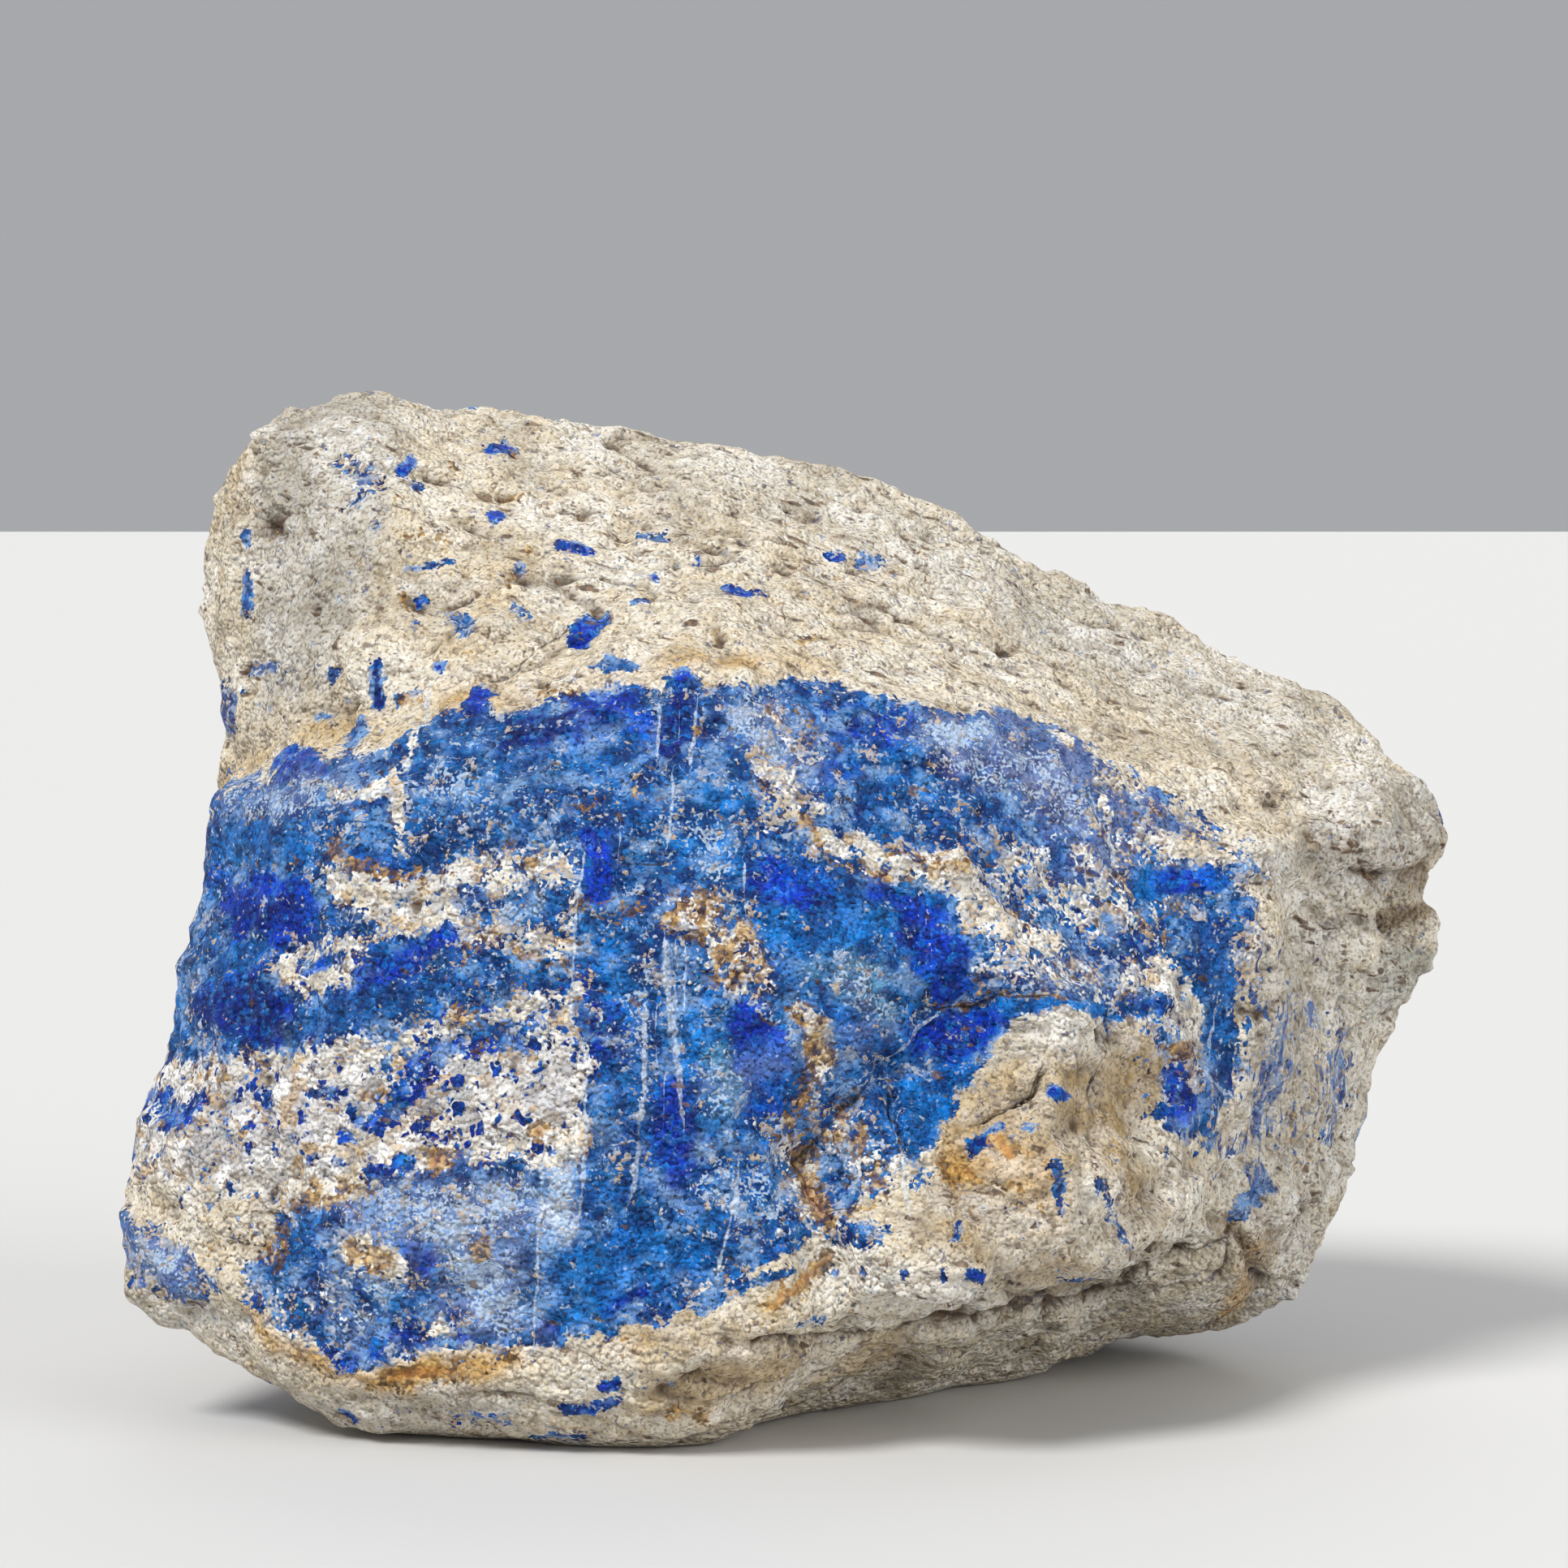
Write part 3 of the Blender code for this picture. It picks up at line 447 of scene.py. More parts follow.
# %% Lapis inside the broken face
LAPIS = [  # paint, share of blue grains, softness in pixels, shape
    ("cobalt", 0.80, 8, BLUE_FACE),
    ("cobalt", 0.52, 30, [(1380, 960), (1470, 990), (1550, 1070), (1550, 1200), (1530, 1310),
     (1440, 1420), (1420, 1300), (1380, 1160)]),
    ("slate", 0.86, 24, [(300, 985, 24), (370, 975, 26), (470, 950, 26)]),
    ("dusk", 0.90, 26, [(520, 930, 34), (590, 930, 48), (650, 940, 40)]),
    ("dusk", 0.85, 20, [(520, 1000, 24), (600, 990, 34), (650, 1000, 24)]),
    ("deep", 0.97, 14, [(612, 914, 8), (676, 898, 10)]),
    ("royal", 0.92, 20, [(700, 885, 22), (760, 870, 24), (800, 880, 22)]),
    ("cobalt", 0.88, 20, [(700, 940, 22), (760, 950, 26), (800, 950, 20)]),
    ("royal", 0.98, 12, [(847, 838, 12)]),
    ("deep", 1.0, 10, [(834, 866, 17), (832, 920, 15)]),
    ("slate", 0.78, 24, [(890, 880, 26), (940, 880, 28), (950, 920, 18)]),
    ("azure", 0.90, 18, [(870, 970, 16), (905, 980, 20)]),
    ("azure", 0.85, 24, [(850, 1030, 26), (890, 1060, 30)]),
    ("slate", 0.55, 26, [(960, 890, 18), (1000, 930, 24), (960, 980, 24)]),
    ("royal", 0.90, 20, [(1040, 885, 16), (1100, 895, 22)]),
    ("royal", 0.88, 20, [(990, 960, 14), (1035, 955, 14)]),
    ("deep", 0.95, 14, [(1070, 955, 13), (1072, 1008, 13)]),
    ("cobalt", 0.80, 26, [(1120, 970, 26), (1200, 1010, 26)]),
    ("violet", 0.84, 26, [(1180, 930, 24), (1250, 945, 36), (1320, 965, 32)]),
    ("navy", 0.92, 14, [(1210, 880, 7), (1290, 900, 9), (1340, 935, 9), (1362, 970, 7)]),
    ("violet", 0.78, 20, [(1260, 1000, 18), (1340, 1000, 18)]),
    ("haze", 0.75, 16, [(1152, 900, 11), (1206, 902, 13)]),
    ("cobalt", 0.96, 16, [(270, 1030, 16), (330, 1040, 26), (360, 1060, 20)]),
    ("royal", 0.96, 18, [(262, 1080, 14), (300, 1120, 30), (360, 1120, 34)]),
    ("royal", 1.0, 12, [(348, 1130, 14), (380, 1105, 16)]),
    ("deep", 0.98, 12, [(446, 1050, 14), (480, 1062, 16), (496, 1068, 7)]),
    ("cobalt", 0.90, 16, [(240, 1180, 14), (300, 1180, 18), (340, 1168, 12)]),
    ("royal", 0.98, 16, [(262, 1230, 22), (300, 1240, 36), (334, 1256, 26)]),
    ("cobalt", 0.95, 18, [(300, 1280, 14), (380, 1270, 24), (460, 1240, 28)]),
    ("cobalt", 0.86, 24, [(500, 1220, 30), (570, 1200, 30), (620, 1190, 18)]),
    ("royal", 0.98, 10, [(466, 1206, 12), (500, 1178, 15), (548, 1152, 12)]),
    ("slate", 0.80, 14, [(576, 1120, 16)]),
    ("dusk", 0.85, 14, [(655, 1115, 18), (676, 1100, 18)]),
    ("royal", 0.98, 12, [(736, 1036, 16), (736, 1090, 20)]),
    ("cobalt", 0.85, 16, [(790, 1010, 24), (800, 1040, 22)]),
    ("cobalt", 0.92, 16, [(780, 1080, 16), (830, 1080, 18)]),
    ("azure", 0.92, 24, [(760, 1170, 22), (770, 1230, 26), (780, 1290, 22)]),
    ("royal", 0.92, 16, [(740, 1260, 18), (748, 1300, 18)]),
    ("cobalt", 0.90, 16, [(745, 1330, 18), (745, 1420, 22), (745, 1490, 24)]),
    ("royal", 0.97, 22, [(830, 1350, 30), (840, 1400, 34), (840, 1440, 26)]),
    ("azure", 0.93, 24, [(880, 1240, 18), (880, 1320, 26), (890, 1400, 24)]),
    ("royal", 1.0, 16, [(920, 1260, 24), (936, 1310, 34), (945, 1350, 24)]),
    ("mist", 0.85, 16, [(890, 1290, 12), (896, 1330, 16), (895, 1370, 14)]),
    ("royal", 1.0, 16, [(945, 1086, 24), (990, 1084, 24)]),
    ("azure", 0.96, 26, [(960, 1140, 30), (1040, 1140, 40), (1100, 1130, 30)]),
    ("cobalt", 0.96, 20, [(1010, 1110, 22), (1060, 1110, 26)]),
    ("royal", 1.0, 16, [(1130, 1150, 20), (1160, 1180, 30), (1170, 1210, 22)]),
    ("royal", 0.97, 18, [(1090, 1090, 14), (1150, 1130, 16)]),
    ("cobalt", 0.95, 20, [(960, 1180, 18), (980, 1220, 18)]),
    ("mist", 0.86, 22, [(1010, 1190, 16), (1060, 1200, 26), (1090, 1240, 26), (1086, 1280, 14)]),
    ("azure", 0.95, 22, [(1050, 1260, 20), (1110, 1300, 14), (1130, 1250, 18)]),
    ("royal", 1.0, 14, [(1130, 1280, 16), (1180, 1270, 24), (1230, 1256, 16)]),
    ("azure", 0.98, 18, [(1120, 1350, 20), (1150, 1360, 26), (1180, 1310, 22)]),
    ("cobalt", 0.98, 12, [(1116, 1390, 12), (1146, 1390, 12)]),
    ("azure", 1.0, 9, [(1226, 1248, 10), (1288, 1235, 8), (1342, 1244, 9), (1362, 1262, 7)]),
    ("dusk", 0.80, 22, [(1000, 1340, 14), (1050, 1400, 26), (1070, 1450, 24)]),
    ("cobalt", 0.80, 24, [(930, 1400, 26), (960, 1460, 30), (930, 1500, 30)]),
    ("azure", 0.97, 24, [(700, 1570, 34), (780, 1550, 40), (860, 1530, 30)]),
    ("azure", 0.95, 20, [(690, 1610, 30), (760, 1590, 26), (820, 1570, 20)]),
    ("royal", 1.0, 9, [(746, 1610, 8), (786, 1596, 9)]),
    ("royal", 1.0, 9, [(664, 1640, 8), (682, 1640, 8)]),
    ("cobalt", 0.94, 14, [(810, 1588, 9), (850, 1574, 8), (900, 1556, 6)]),
    ("haze", 0.70, 30, [(380, 1600), (400, 1500), (520, 1470), (660, 1440), (664, 1660), (560, 1664),
     (420, 1650)]),
    ("cobalt", 0.86, 18, [(360, 1530, 18), (400, 1550, 26)]),
    ("royal", 0.92, 14, [(492, 1532, 13), (520, 1550, 15)]),
    ("cobalt", 0.82, 20, [(450, 1590, 16), (510, 1610, 22), (470, 1650, 20)]),
    ("royal", 0.85, 14, [(410, 1672, 8), (480, 1650, 12), (560, 1640, 13), (600, 1624, 9)]),
    ("slate", 0.75, 20, [(560, 1450, 14), (610, 1450, 18)]),
    ("cobalt", 0.80, 16, [(630, 1450, 10), (636, 1480, 14)]),
    ("pale", 0.60, 16, [(690, 1420, 14), (690, 1510, 18)]),
    ("haze", 0.92, 24, [(590, 1590, 26), (620, 1630, 22), (636, 1560, 16)]),
    ("cobalt", 0.50, 20, [(310, 1612, 12), (370, 1610, 18)]),
]
lapis = np.zeros(len(places))
blue_tint = np.tile(PAINTS["cobalt"], (len(places), 1))
raggedness = 1.6 * unevenness(places, 3.4, 45.0) + 1.1 * unevenness(places, 1.6, 46.0)
SOLID_BLUE = 0.93  # strokes with a larger share than this have the next number as their spread
SOLID_SPREAD = 1.2


def lay_blue(strokes, where=spots, spread=2.2, ragged=2.4):
    """Lays lapis strokes on the seen side, in order, with borders broken up by noise."""
    for paint, amount, softness, shape in strokes:
        share = inside(where, shape, (SOLID_SPREAD if amount > SOLID_BLUE else spread) * softness)
        share = np.clip(share + ragged * share * (1 - share) * raggedness, 0, 1) * shown
        lapis[:] += (amount - lapis) * share
        blue_tint[:] += (PAINTS[paint] - blue_tint) * share[:, None]


lay_blue(LAPIS)
print("mean share of blue on the seen side:", round(float((lapis * shown).sum() / shown.sum()), 3))

# %% [markdown]
# White calcite and cream marble lie between the blue patches: a speckled zone low on the left,
# a broken diagonal vein above it, pale islands on the upper left, and the band that curves
# from the middle to the right. They are strokes too, with a small share of blue left in them.

# %% Marble inside the broken face
MARBLE = [  # paint, share of blue grains, softness in pixels, shape
    ("cobalt", 0.10, 16, [(410, 1078, 12), (450, 1100, 26), (520, 1110, 30), (560, 1130, 22)]),
    ("slate", 0.26, 18, [(540, 1080, 16), (600, 1080, 22), (680, 1062, 20), (700, 1050, 10)]),
    ("cobalt", 0.30, 14, [(590, 1150, 16), (640, 1150, 20), (690, 1160, 16), (700, 1100, 10)]),
    ("royal", 0.10, 12, [(336, 1192, 10), (380, 1210, 18), (440, 1200, 14)]),
    ("royal", 0.06, 10, [(344, 1180, 5), (430, 1160, 8), (510, 1140, 9)]),
    ("royal", 0.08, 14, [(300, 1304, 9), (400, 1302, 12), (480, 1290, 10), (560, 1262, 10),
     (660, 1226, 9)]),
    ("royal", 0.30, 14, [(640, 1230, 14), (690, 1230, 20), (716, 1210, 12)]),
    ("royal", 0.09, 20, [(110, 1300), (200, 1310), (300, 1312), (480, 1310), (600, 1285), (700, 1250),
     (716, 1330), (712, 1410), (600, 1440), (520, 1436), (440, 1470), (300, 1480), (100, 1440)]),
    ("royal", 0.03, 26, [(230, 1470, 26), (270, 1520, 34), (280, 1580, 26)]),
    ("slate", 0.14, 26, [(200, 1420, 20), (280, 1430, 34), (340, 1460, 18)]),
    ("cobalt", 0.08, 12, [(1012, 1036, 12), (1060, 1048, 15), (1110, 1070, 16), (1180, 1076, 16)]),
    ("cobalt", 0.06, 14, [(1180, 1090, 16), (1220, 1130, 26), (1270, 1160, 16), (1310, 1168, 8)]),
    ("cobalt", 0.38, 20, [(1236, 1060, 24), (1320, 1090, 40), (1370, 1120, 26)]),
    ("royal", 0.07, 14, [(1400, 1034, 8), (1460, 1040, 12), (1510, 1050, 8)]),
    ("slate", 0.45, 18, [(1210, 1196, 12), (1300, 1200, 18), (1380, 1214, 14)]),
    ("cobalt", 0.10, 16, [(1400, 1196, 16), (1440, 1200, 22), (1470, 1260, 18)]),
    ("slate", 0.12, 10, [(1350, 1000, 6), (1372, 1050, 6), (1384, 1100, 6)]),
    ("cobalt", 0.04, 8, [(488, 945, 6), (486, 1000, 7), (492, 1050, 6)]),
    ("cobalt", 0.04, 7, [(408, 978, 4), (450, 972, 4), (490, 964, 4)]),
    ("cobalt", 0.06, 8, [(494, 940, 5), (516, 890, 4), (530, 856, 4)]),
    ("cobalt", 0.30, 18, [(940, 940, 18), (990, 990, 20), (950, 1010, 14)]),
    ("slate", 0.42, 16, [(830, 1130, 12), (880, 1130, 24), (905, 1170, 30), (930, 1216, 20)]),
    ("dusk", 0.35, 14, [(980, 1240, 10), (1004, 1272, 18), (1016, 1306, 16)]),
    ("dusk", 0.55, 18, [(1010, 1370, 16), (1050, 1410, 30), (1080, 1450, 26), (1130, 1450, 16)]),
    ("dusk", 0.40, 14, [(975, 1420, 12), (990, 1460, 18), (1010, 1500, 14)]),
    ("azure", 0.02, 9, [(900, 1560, 5), (870, 1586, 6), (836, 1634, 7), (790, 1692, 8)]),
    ("cobalt", 0.12, 10, [(1104, 1420, 6), (1112, 1452, 8), (1120, 1486, 9)]),
    ("cobalt", 0.05, 12, [(538, 1640, 12)]),
    ("cobalt", 0.10, 12, [(436, 1540, 14), (476, 1556, 16)]),
]
LAPIS_OVER = [  # the same columns, laid over the marble
    ("slate", 0.8, 10, [(575, 1112, 14), (590, 1104, 10)]),
    ("cobalt", 0.85, 10, [(660, 1110, 18), (676, 1118, 16)]),
    ("cobalt", 0.75, 12, [(600, 1196, 20), (650, 1206, 18)]),
    ("royal", 0.95, 10, [(450, 1208, 16), (500, 1182, 18), (552, 1152, 14)]),
    ("royal", 0.97, 10, [(340, 1112, 24), (368, 1130, 26), (340, 1146, 18)]),
    ("deep", 0.97, 10, [(258, 1236, 20), (300, 1240, 36), (322, 1266, 26)]),
    ("royal", 0.97, 10, [(735, 1036, 18), (740, 1090, 22)]),
    ("royal", 0.98, 12, [(940, 1084, 26), (1000, 1092, 30)]),
    ("royal", 0.98, 12, [(920, 1250, 22), (940, 1310, 38), (944, 1356, 24)]),
    ("royal", 0.98, 12, [(1130, 1146, 22), (1166, 1184, 36), (1176, 1216, 22)]),
    ("deep", 0.97, 10, [(650, 896, 24), (700, 884, 12)]),
    ("deep", 0.96, 10, [(450, 1052, 16), (486, 1064, 12)]),
    ("navy", 0.96, 10, [(1066, 970, 16), (1078, 1004, 14)]),
    ("royal", 0.98, 10, [(1170, 1280, 26), (1220, 1262, 18)]),
    ("royal", 0.85, 12, [(470, 1380, 14), (500, 1340, 22), (530, 1306, 16)]),
    ("royal", 0.75, 12, [(530, 1300, 10), (580, 1286, 9), (640, 1284, 9)]),
    ("royal", 0.75, 14, [(724, 1250, 14), (760, 1280, 14)]),
    ("royal", 0.80, 12, [(196, 1352, 12), (212, 1384, 14), (246, 1350, 10)]),
    ("deep", 0.95, 8, [(330, 1350, 6), (331, 1364, 6)]), ("deep", 0.95, 6, [(287, 1359, 6)]),
    ("deep", 0.9, 8, [(384, 1344, 9), (410, 1350, 8)]), ("deep", 0.95, 5, [(303, 1408, 5)]),
    ("deep", 0.95, 5, [(337, 1415, 5)]), ("deep", 0.95, 5, [(361, 1406, 5)]),
    ("royal", 0.9, 7, [(420, 1402, 8), (430, 1404, 6)]), ("royal", 0.9, 6, [(408, 1435, 6)]),
    ("deep", 1.0, 7, [(458, 1444, 9), (474, 1446, 9)]), ("azure", 0.8, 10, [(497, 1430, 10)]),
    ("royal", 0.9, 7, [(379, 1428, 6)]), ("deep", 0.9, 7, [(520, 1388, 7)]),
    ("royal", 0.8, 8, [(386, 1190, 6), (412, 1180, 5)]), ("deep", 0.9, 7, [(414, 1226, 8)]),
    ("cobalt", 0.95, 10, [(1306, 1046, 10), (1314, 1080, 9)]), ("cobalt", 0.8, 10, [(1270, 1020, 12)]),
    ("royal", 0.85, 12, [(1375, 1140, 7), (1410, 1166, 13)]),
    ("royal", 0.95, 10, [(1400, 1232, 11), (1430, 1240, 10)]), ("royal", 0.9, 9, [(1419, 986, 10)]),
    ("slate", 0.7, 14, [(1390, 1000, 14), (1396, 1032, 8)]),
    ("slate", 0.7, 14, [(1430, 1008, 9), (1456, 1016, 8)]),
    ("teal", 1.0, 8, [(1410, 1084, 17), (1412, 1100, 14)]),
    ("royal", 1.0, 7, [(1440, 1086, 20), (1500, 1084, 18)]),
    ("cobalt", 0.80, 12, [(1500, 1120, 18), (1526, 1110, 14), (1528, 1136, 12)]),
    ("cobalt", 0.88, 14, [(1470, 1140, 18), (1480, 1180, 22)]),
    ("cobalt", 0.97, 10, [(1496, 1150, 20), (1500, 1230, 19), (1504, 1300, 16)]),
    ("royal", 0.92, 14, [(1450, 1324, 12), (1460, 1352, 20), (1450, 1392, 14)]),
    ("slate", 0.8, 14, [(1500, 1320, 12), (1500, 1360, 12)]),
]
lay_blue(MARBLE)
lay_blue(LAPIS_OVER, near_spots + 0.4 * (spots - near_spots), 1.8)
drift = np.clip(2.5 * unevenness(places, 9, 43.0), -1, 1) * shown
blue_tint = towards(blue_tint, "azure", 0.45 * np.maximum(drift, 0))
blue_tint = towards(blue_tint, "deep", 0.35 * np.maximum(-drift, 0))
blue_tint *= np.clip(1 + 0.5 * raggedness, 0.3, 1.9)[:, None]
print("mean share after the marble:", round(float((lapis * shown).sum() / shown.sum()), 3))

# %% [markdown]
# Single blue crystals sit in the cream rind as well: a row of them above the brow, a few on the
# slope and the left edge, a line along the foot, and violet-blue streaks down the right end.

# %% Blue crystals in the rind
CRYSTALS = [  # paint, share of blue grains, softness in pixels, shape
    ("deep", 1.0, 8, [(464, 818, 8), (463, 840, 10), (465, 866, 7)]),
    ("royal", 1.0, 8, [(580, 872, 10), (596, 850, 12)]),
    ("royal", 1.0, 8, [(710, 786, 13), (722, 770, 15), (742, 760, 8)]),
    ("cobalt", 0.85, 10, [(728, 824, 7), (752, 820, 10), (782, 820, 5)]),
    ("royal", 1.0, 7, [(542, 825, 8)]),
    ("royal", 0.95, 10, [(355, 950, 14), (376, 938, 17), (392, 944, 10)]),
    ("royal", 0.95, 9, [(600, 558, 8), (622, 554, 9), (634, 556, 4)]),
    ("royal", 0.95, 8, [(500, 574, 9), (506, 566, 7)]), ("slate", 0.8, 8, [(513, 598, 7)]),
    ("royal", 0.9, 8, [(690, 674, 7), (710, 674, 9), (730, 682, 4)]),
    ("royal", 0.9, 7, [(606, 636, 6), (618, 635, 6)]), ("cobalt", 0.9, 8, [(640, 703, 8)]),
    ("slate", 0.85, 10, [(434, 908, 8), (448, 896, 9)]),
    ("slate", 0.8, 7, [(390, 884, 4), (404, 884, 4)]), ("slate", 0.8, 8, [(408, 826, 5), (408, 836, 5)]),
    ("navy", 0.8, 8, [(492, 864, 4), (516, 852, 6)]),
    ("slate", 0.62, 14, [(556, 752, 10), (572, 772, 16)]), ("slate", 0.7, 7, [(508, 764, 6)]),
    ("royal", 0.8, 6, [(516, 738, 6)]), ("slate", 0.5, 10, [(640, 752, 12)]),
    ("slate", 0.85, 6, [(303, 655, 4), (303, 674, 5)]),
    ("slate", 1.0, 7, [(299, 706, 4), (302, 730, 6), (303, 754, 5)]),
    ("violet", 0.6, 14, [(300, 826, 9), (336, 822, 9)]),
    ("violet", 0.75, 12, [(272, 850, 10), (284, 880, 10), (282, 900, 6)]),
    ("violet", 0.4, 22, [(420, 560, 14), (460, 590, 16), (430, 620, 12)]),
    ("violet", 0.5, 9, [(462, 646, 8)]), ("slate", 0.5, 10, [(790, 660, 6), (816, 662, 8)]),
    ("royal", 0.8, 6, [(861, 690, 6)]), ("royal", 0.95, 6, [(1022, 684, 6), (1034, 685, 6)]),
    ("haze", 0.7, 8, [(1062, 688, 7), (1088, 694, 6)]), ("royal", 0.9, 6, [(806, 710, 6)]),
    ("royal", 0.9, 6, [(898, 724, 5), (912, 731, 6), (940, 733, 2)]),
    ("slate", 0.8, 5, [(780, 744, 3), (800, 742, 3)]), ("cobalt", 0.8, 7, [(500, 700, 4), (560, 690, 4)]),
    ("royal", 0.95, 7, [(420, 1740, 6), (438, 1747, 6)]), ("royal", 0.8, 6, [(586, 1743, 6)]),
    ("royal", 1.0, 7, [(742, 1713, 8), (756, 1710, 8)]),
    ("royal", 0.85, 7, [(692, 1741, 5), (730, 1740, 8), (760, 1732, 6)]),
    ("deep", 0.6, 8, [(660, 1768, 5), (720, 1770, 6)]), ("cobalt", 0.8, 6, [(826, 1710, 5)]),
    ("royal", 0.4, 14, [(560, 1752, 9), (620, 1750, 10)]), ("royal", 0.7, 5, [(787, 1712, 4)]),
    ("deep", 1.0, 7, [(1200, 1416, 8), (1216, 1402, 8), (1234, 1388, 5)]),
    ("royal", 1.0, 7, [(1298, 1344, 9), (1308, 1350, 7)]), ("slate", 0.6, 9, [(1271, 1388, 10)]),
    ("slate", 0.75, 8, [(1296, 1432, 7), (1304, 1452, 6), (1306, 1490, 4)]),
    ("slate", 0.55, 8, [(1352, 1450, 5), (1368, 1490, 6), (1384, 1528, 6)]),
    ("azure", 0.8, 5, [(1372, 1428, 4)]),
    ("cobalt", 0.62, 14, [(1046, 1496, 8), (1036, 1524, 16), (1078, 1520, 16), (1096, 1512, 8)]),
    ("deep", 1.0, 6, [(1180, 1508, 6), (1181, 1522, 5)]), ("deep", 0.95, 6, [(1115, 1571, 6)]),
    ("royal", 0.9, 6, [(1064, 1571, 5)]), ("royal", 0.95, 7, [(1196, 1570, 7), (1210, 1574, 7)]),
    ("royal", 0.8, 5, [(1030, 1571, 5)]), ("navy", 0.8, 6, [(1164, 1568, 5)]),
    ("navy", 0.8, 5, [(1236, 1484, 5)]), ("slate", 0.6, 9, [(1310, 1572, 9), (1338, 1574, 9)]),
    ("slate", 0.6, 8, [(990, 1631, 6), (1020, 1628, 6)]),
    ("cobalt", 0.9, 9, [(868, 1606, 15), (900, 1592, 7), (976, 1566, 6)]),
    ("slate", 0.66, 34, [(140, 1510, 20), (190, 1550, 34), (240, 1580, 28)]),
    ("royal", 0.7, 8, [(165, 1582, 5), (180, 1584, 5)]),
    ("cobalt", 0.8, 12, [(1545, 1440, 12), (1560, 1462, 13)]),
    ("haze", 0.85, 12, [(1530, 1496, 14), (1540, 1480, 12)]),
    ("royal", 0.9, 7, [(1616, 1236, 6), (1618, 1262, 5)]),
    ("cobalt", 0.6, 8, [(1636, 1300, 7), (1632, 1350, 8)]),
    ("violet", 0.26, 90, [(1600, 1240, 10), (1620, 1310, 30), (1590, 1400, 22), (1520, 1430, 10)]),
    ("violet", 0.55, 26, [(1584, 1230, 5), (1572, 1320, 14), (1545, 1400, 12), (1510, 1424, 6)]),
    ("violet", 0.55, 26, [(1650, 1250, 5), (1655, 1340, 12), (1640, 1400, 10)]),
    ("slate", 0.6, 10, [(1490, 1408, 8), (1504, 1394, 7)]),
    ("violet", 0.35, 14, [(1545, 1140, 8), (1550, 1230, 8)]),
]
lay_blue(CRYSTALS, near_spots, 1.0, 1.2)
print("crystals:", len(CRYSTALS))

# %% [markdown]
# ## Dots, rust, soil and painted shade, veils and dull areas
# Six more masks finish the seen side. `dots` is the share of small crystals that are blue, and
# `upright` marks where the grains are drawn out upwards. `rust` is iron stain, golden to
# red-brown. `soil_and_shade` is dark dirt, and painted shade where its marks lie along the bottom edge,
# in the undercuts and hollows and in the crevice under the hump. `veil` is the thin white skin
# that turns the lapis hazy, and `dull` is where the blue is greyer.

# %% Dots of lapis
def painted(marks, spread=1.0):
    """A mask from (amount, softness, shape) marks, laid over each other in order."""
    field = np.zeros(len(places))
    for amount, softness, shape in marks:
        field += (amount - field) * inside(spots, shape, spread * softness) * shown
    return field


DOTS = [  # share of the small crystals that are blue, softness in pixels, shape
    (0.46, 30, [(120, 1320), (300, 1312), (480, 1310), (700, 1250), (716, 1330), (712, 1410), (600, 1440),
     (520, 1436), (440, 1460), (300, 1400), (120, 1400)]),
    (0.16, 30, [(120, 1400), (300, 1400), (440, 1460), (340, 1480), (100, 1480)]),
    (0.20, 20, [(410, 1078, 12), (450, 1100, 26), (520, 1110, 30), (640, 1150, 26), (700, 1130, 20)]),
    (0.34, 16, [(330, 1200, 16), (440, 1200, 16)]),
    (0.36, 20, [(300, 1300, 14), (480, 1290, 12), (690, 1220, 20)]),
    (0.16, 60, [(440, 560, 30), (560, 600, 50), (700, 700, 40), (540, 740, 50)]),
    (0.24, 30, [(280, 850, 20), (340, 830, 22), (440, 870, 22)]),
    (0.12, 24, [(480, 830, 16), (620, 820, 16), (760, 826, 14)]),
    (0.14, 30, [(290, 640, 14), (300, 760, 14)]), (0.06, 50, [(800, 690, 40), (1040, 700, 40)]),
    (0.40, 24, [(1236, 1060, 24), (1320, 1090, 40), (1370, 1120, 26)]),
    (0.35, 20, [(1390, 1000, 26), (1460, 1016, 16)]),
    (0.40, 20, [(1370, 1180, 24), (1420, 1220, 24), (1440, 1290, 16)]),
    (0.30, 20, [(1530, 1080, 10), (1540, 1160, 10)]),
    (0.18, 26, [(1030, 1560, 26), (1120, 1570, 34), (1200, 1540, 40), (1300, 1500, 40),
     (1280, 1430, 26)]), (0.40, 16, [(1020, 1510, 16), (1080, 1520, 16)]),
    (0.16, 24, [(420, 1730, 14), (620, 1750, 14), (800, 1720, 14)]),
    (0.26, 30, [(1540, 1130), (1640, 1180), (1680, 1260), (1680, 1420), (1600, 1500), (1460, 1480),
     (1440, 1400), (1520, 1300)]), (0.20, 24, [(900, 900, 30), (980, 960, 40), (940, 1020, 20)]),
    (0.30, 20, [(1000, 1340, 14), (1050, 1400, 26), (1070, 1450, 24)]),
]
RIGHT_SIDE = [
    (1520, 1100), (1660, 1110), (1740, 1300), (1700, 1500), (1560, 1500), (1440, 1400), (1530, 1260),
]
dots = painted(DOTS)
upright = inside(spots, RIGHT_SIDE, 50) * shown
print("dotted areas:", len(DOTS))
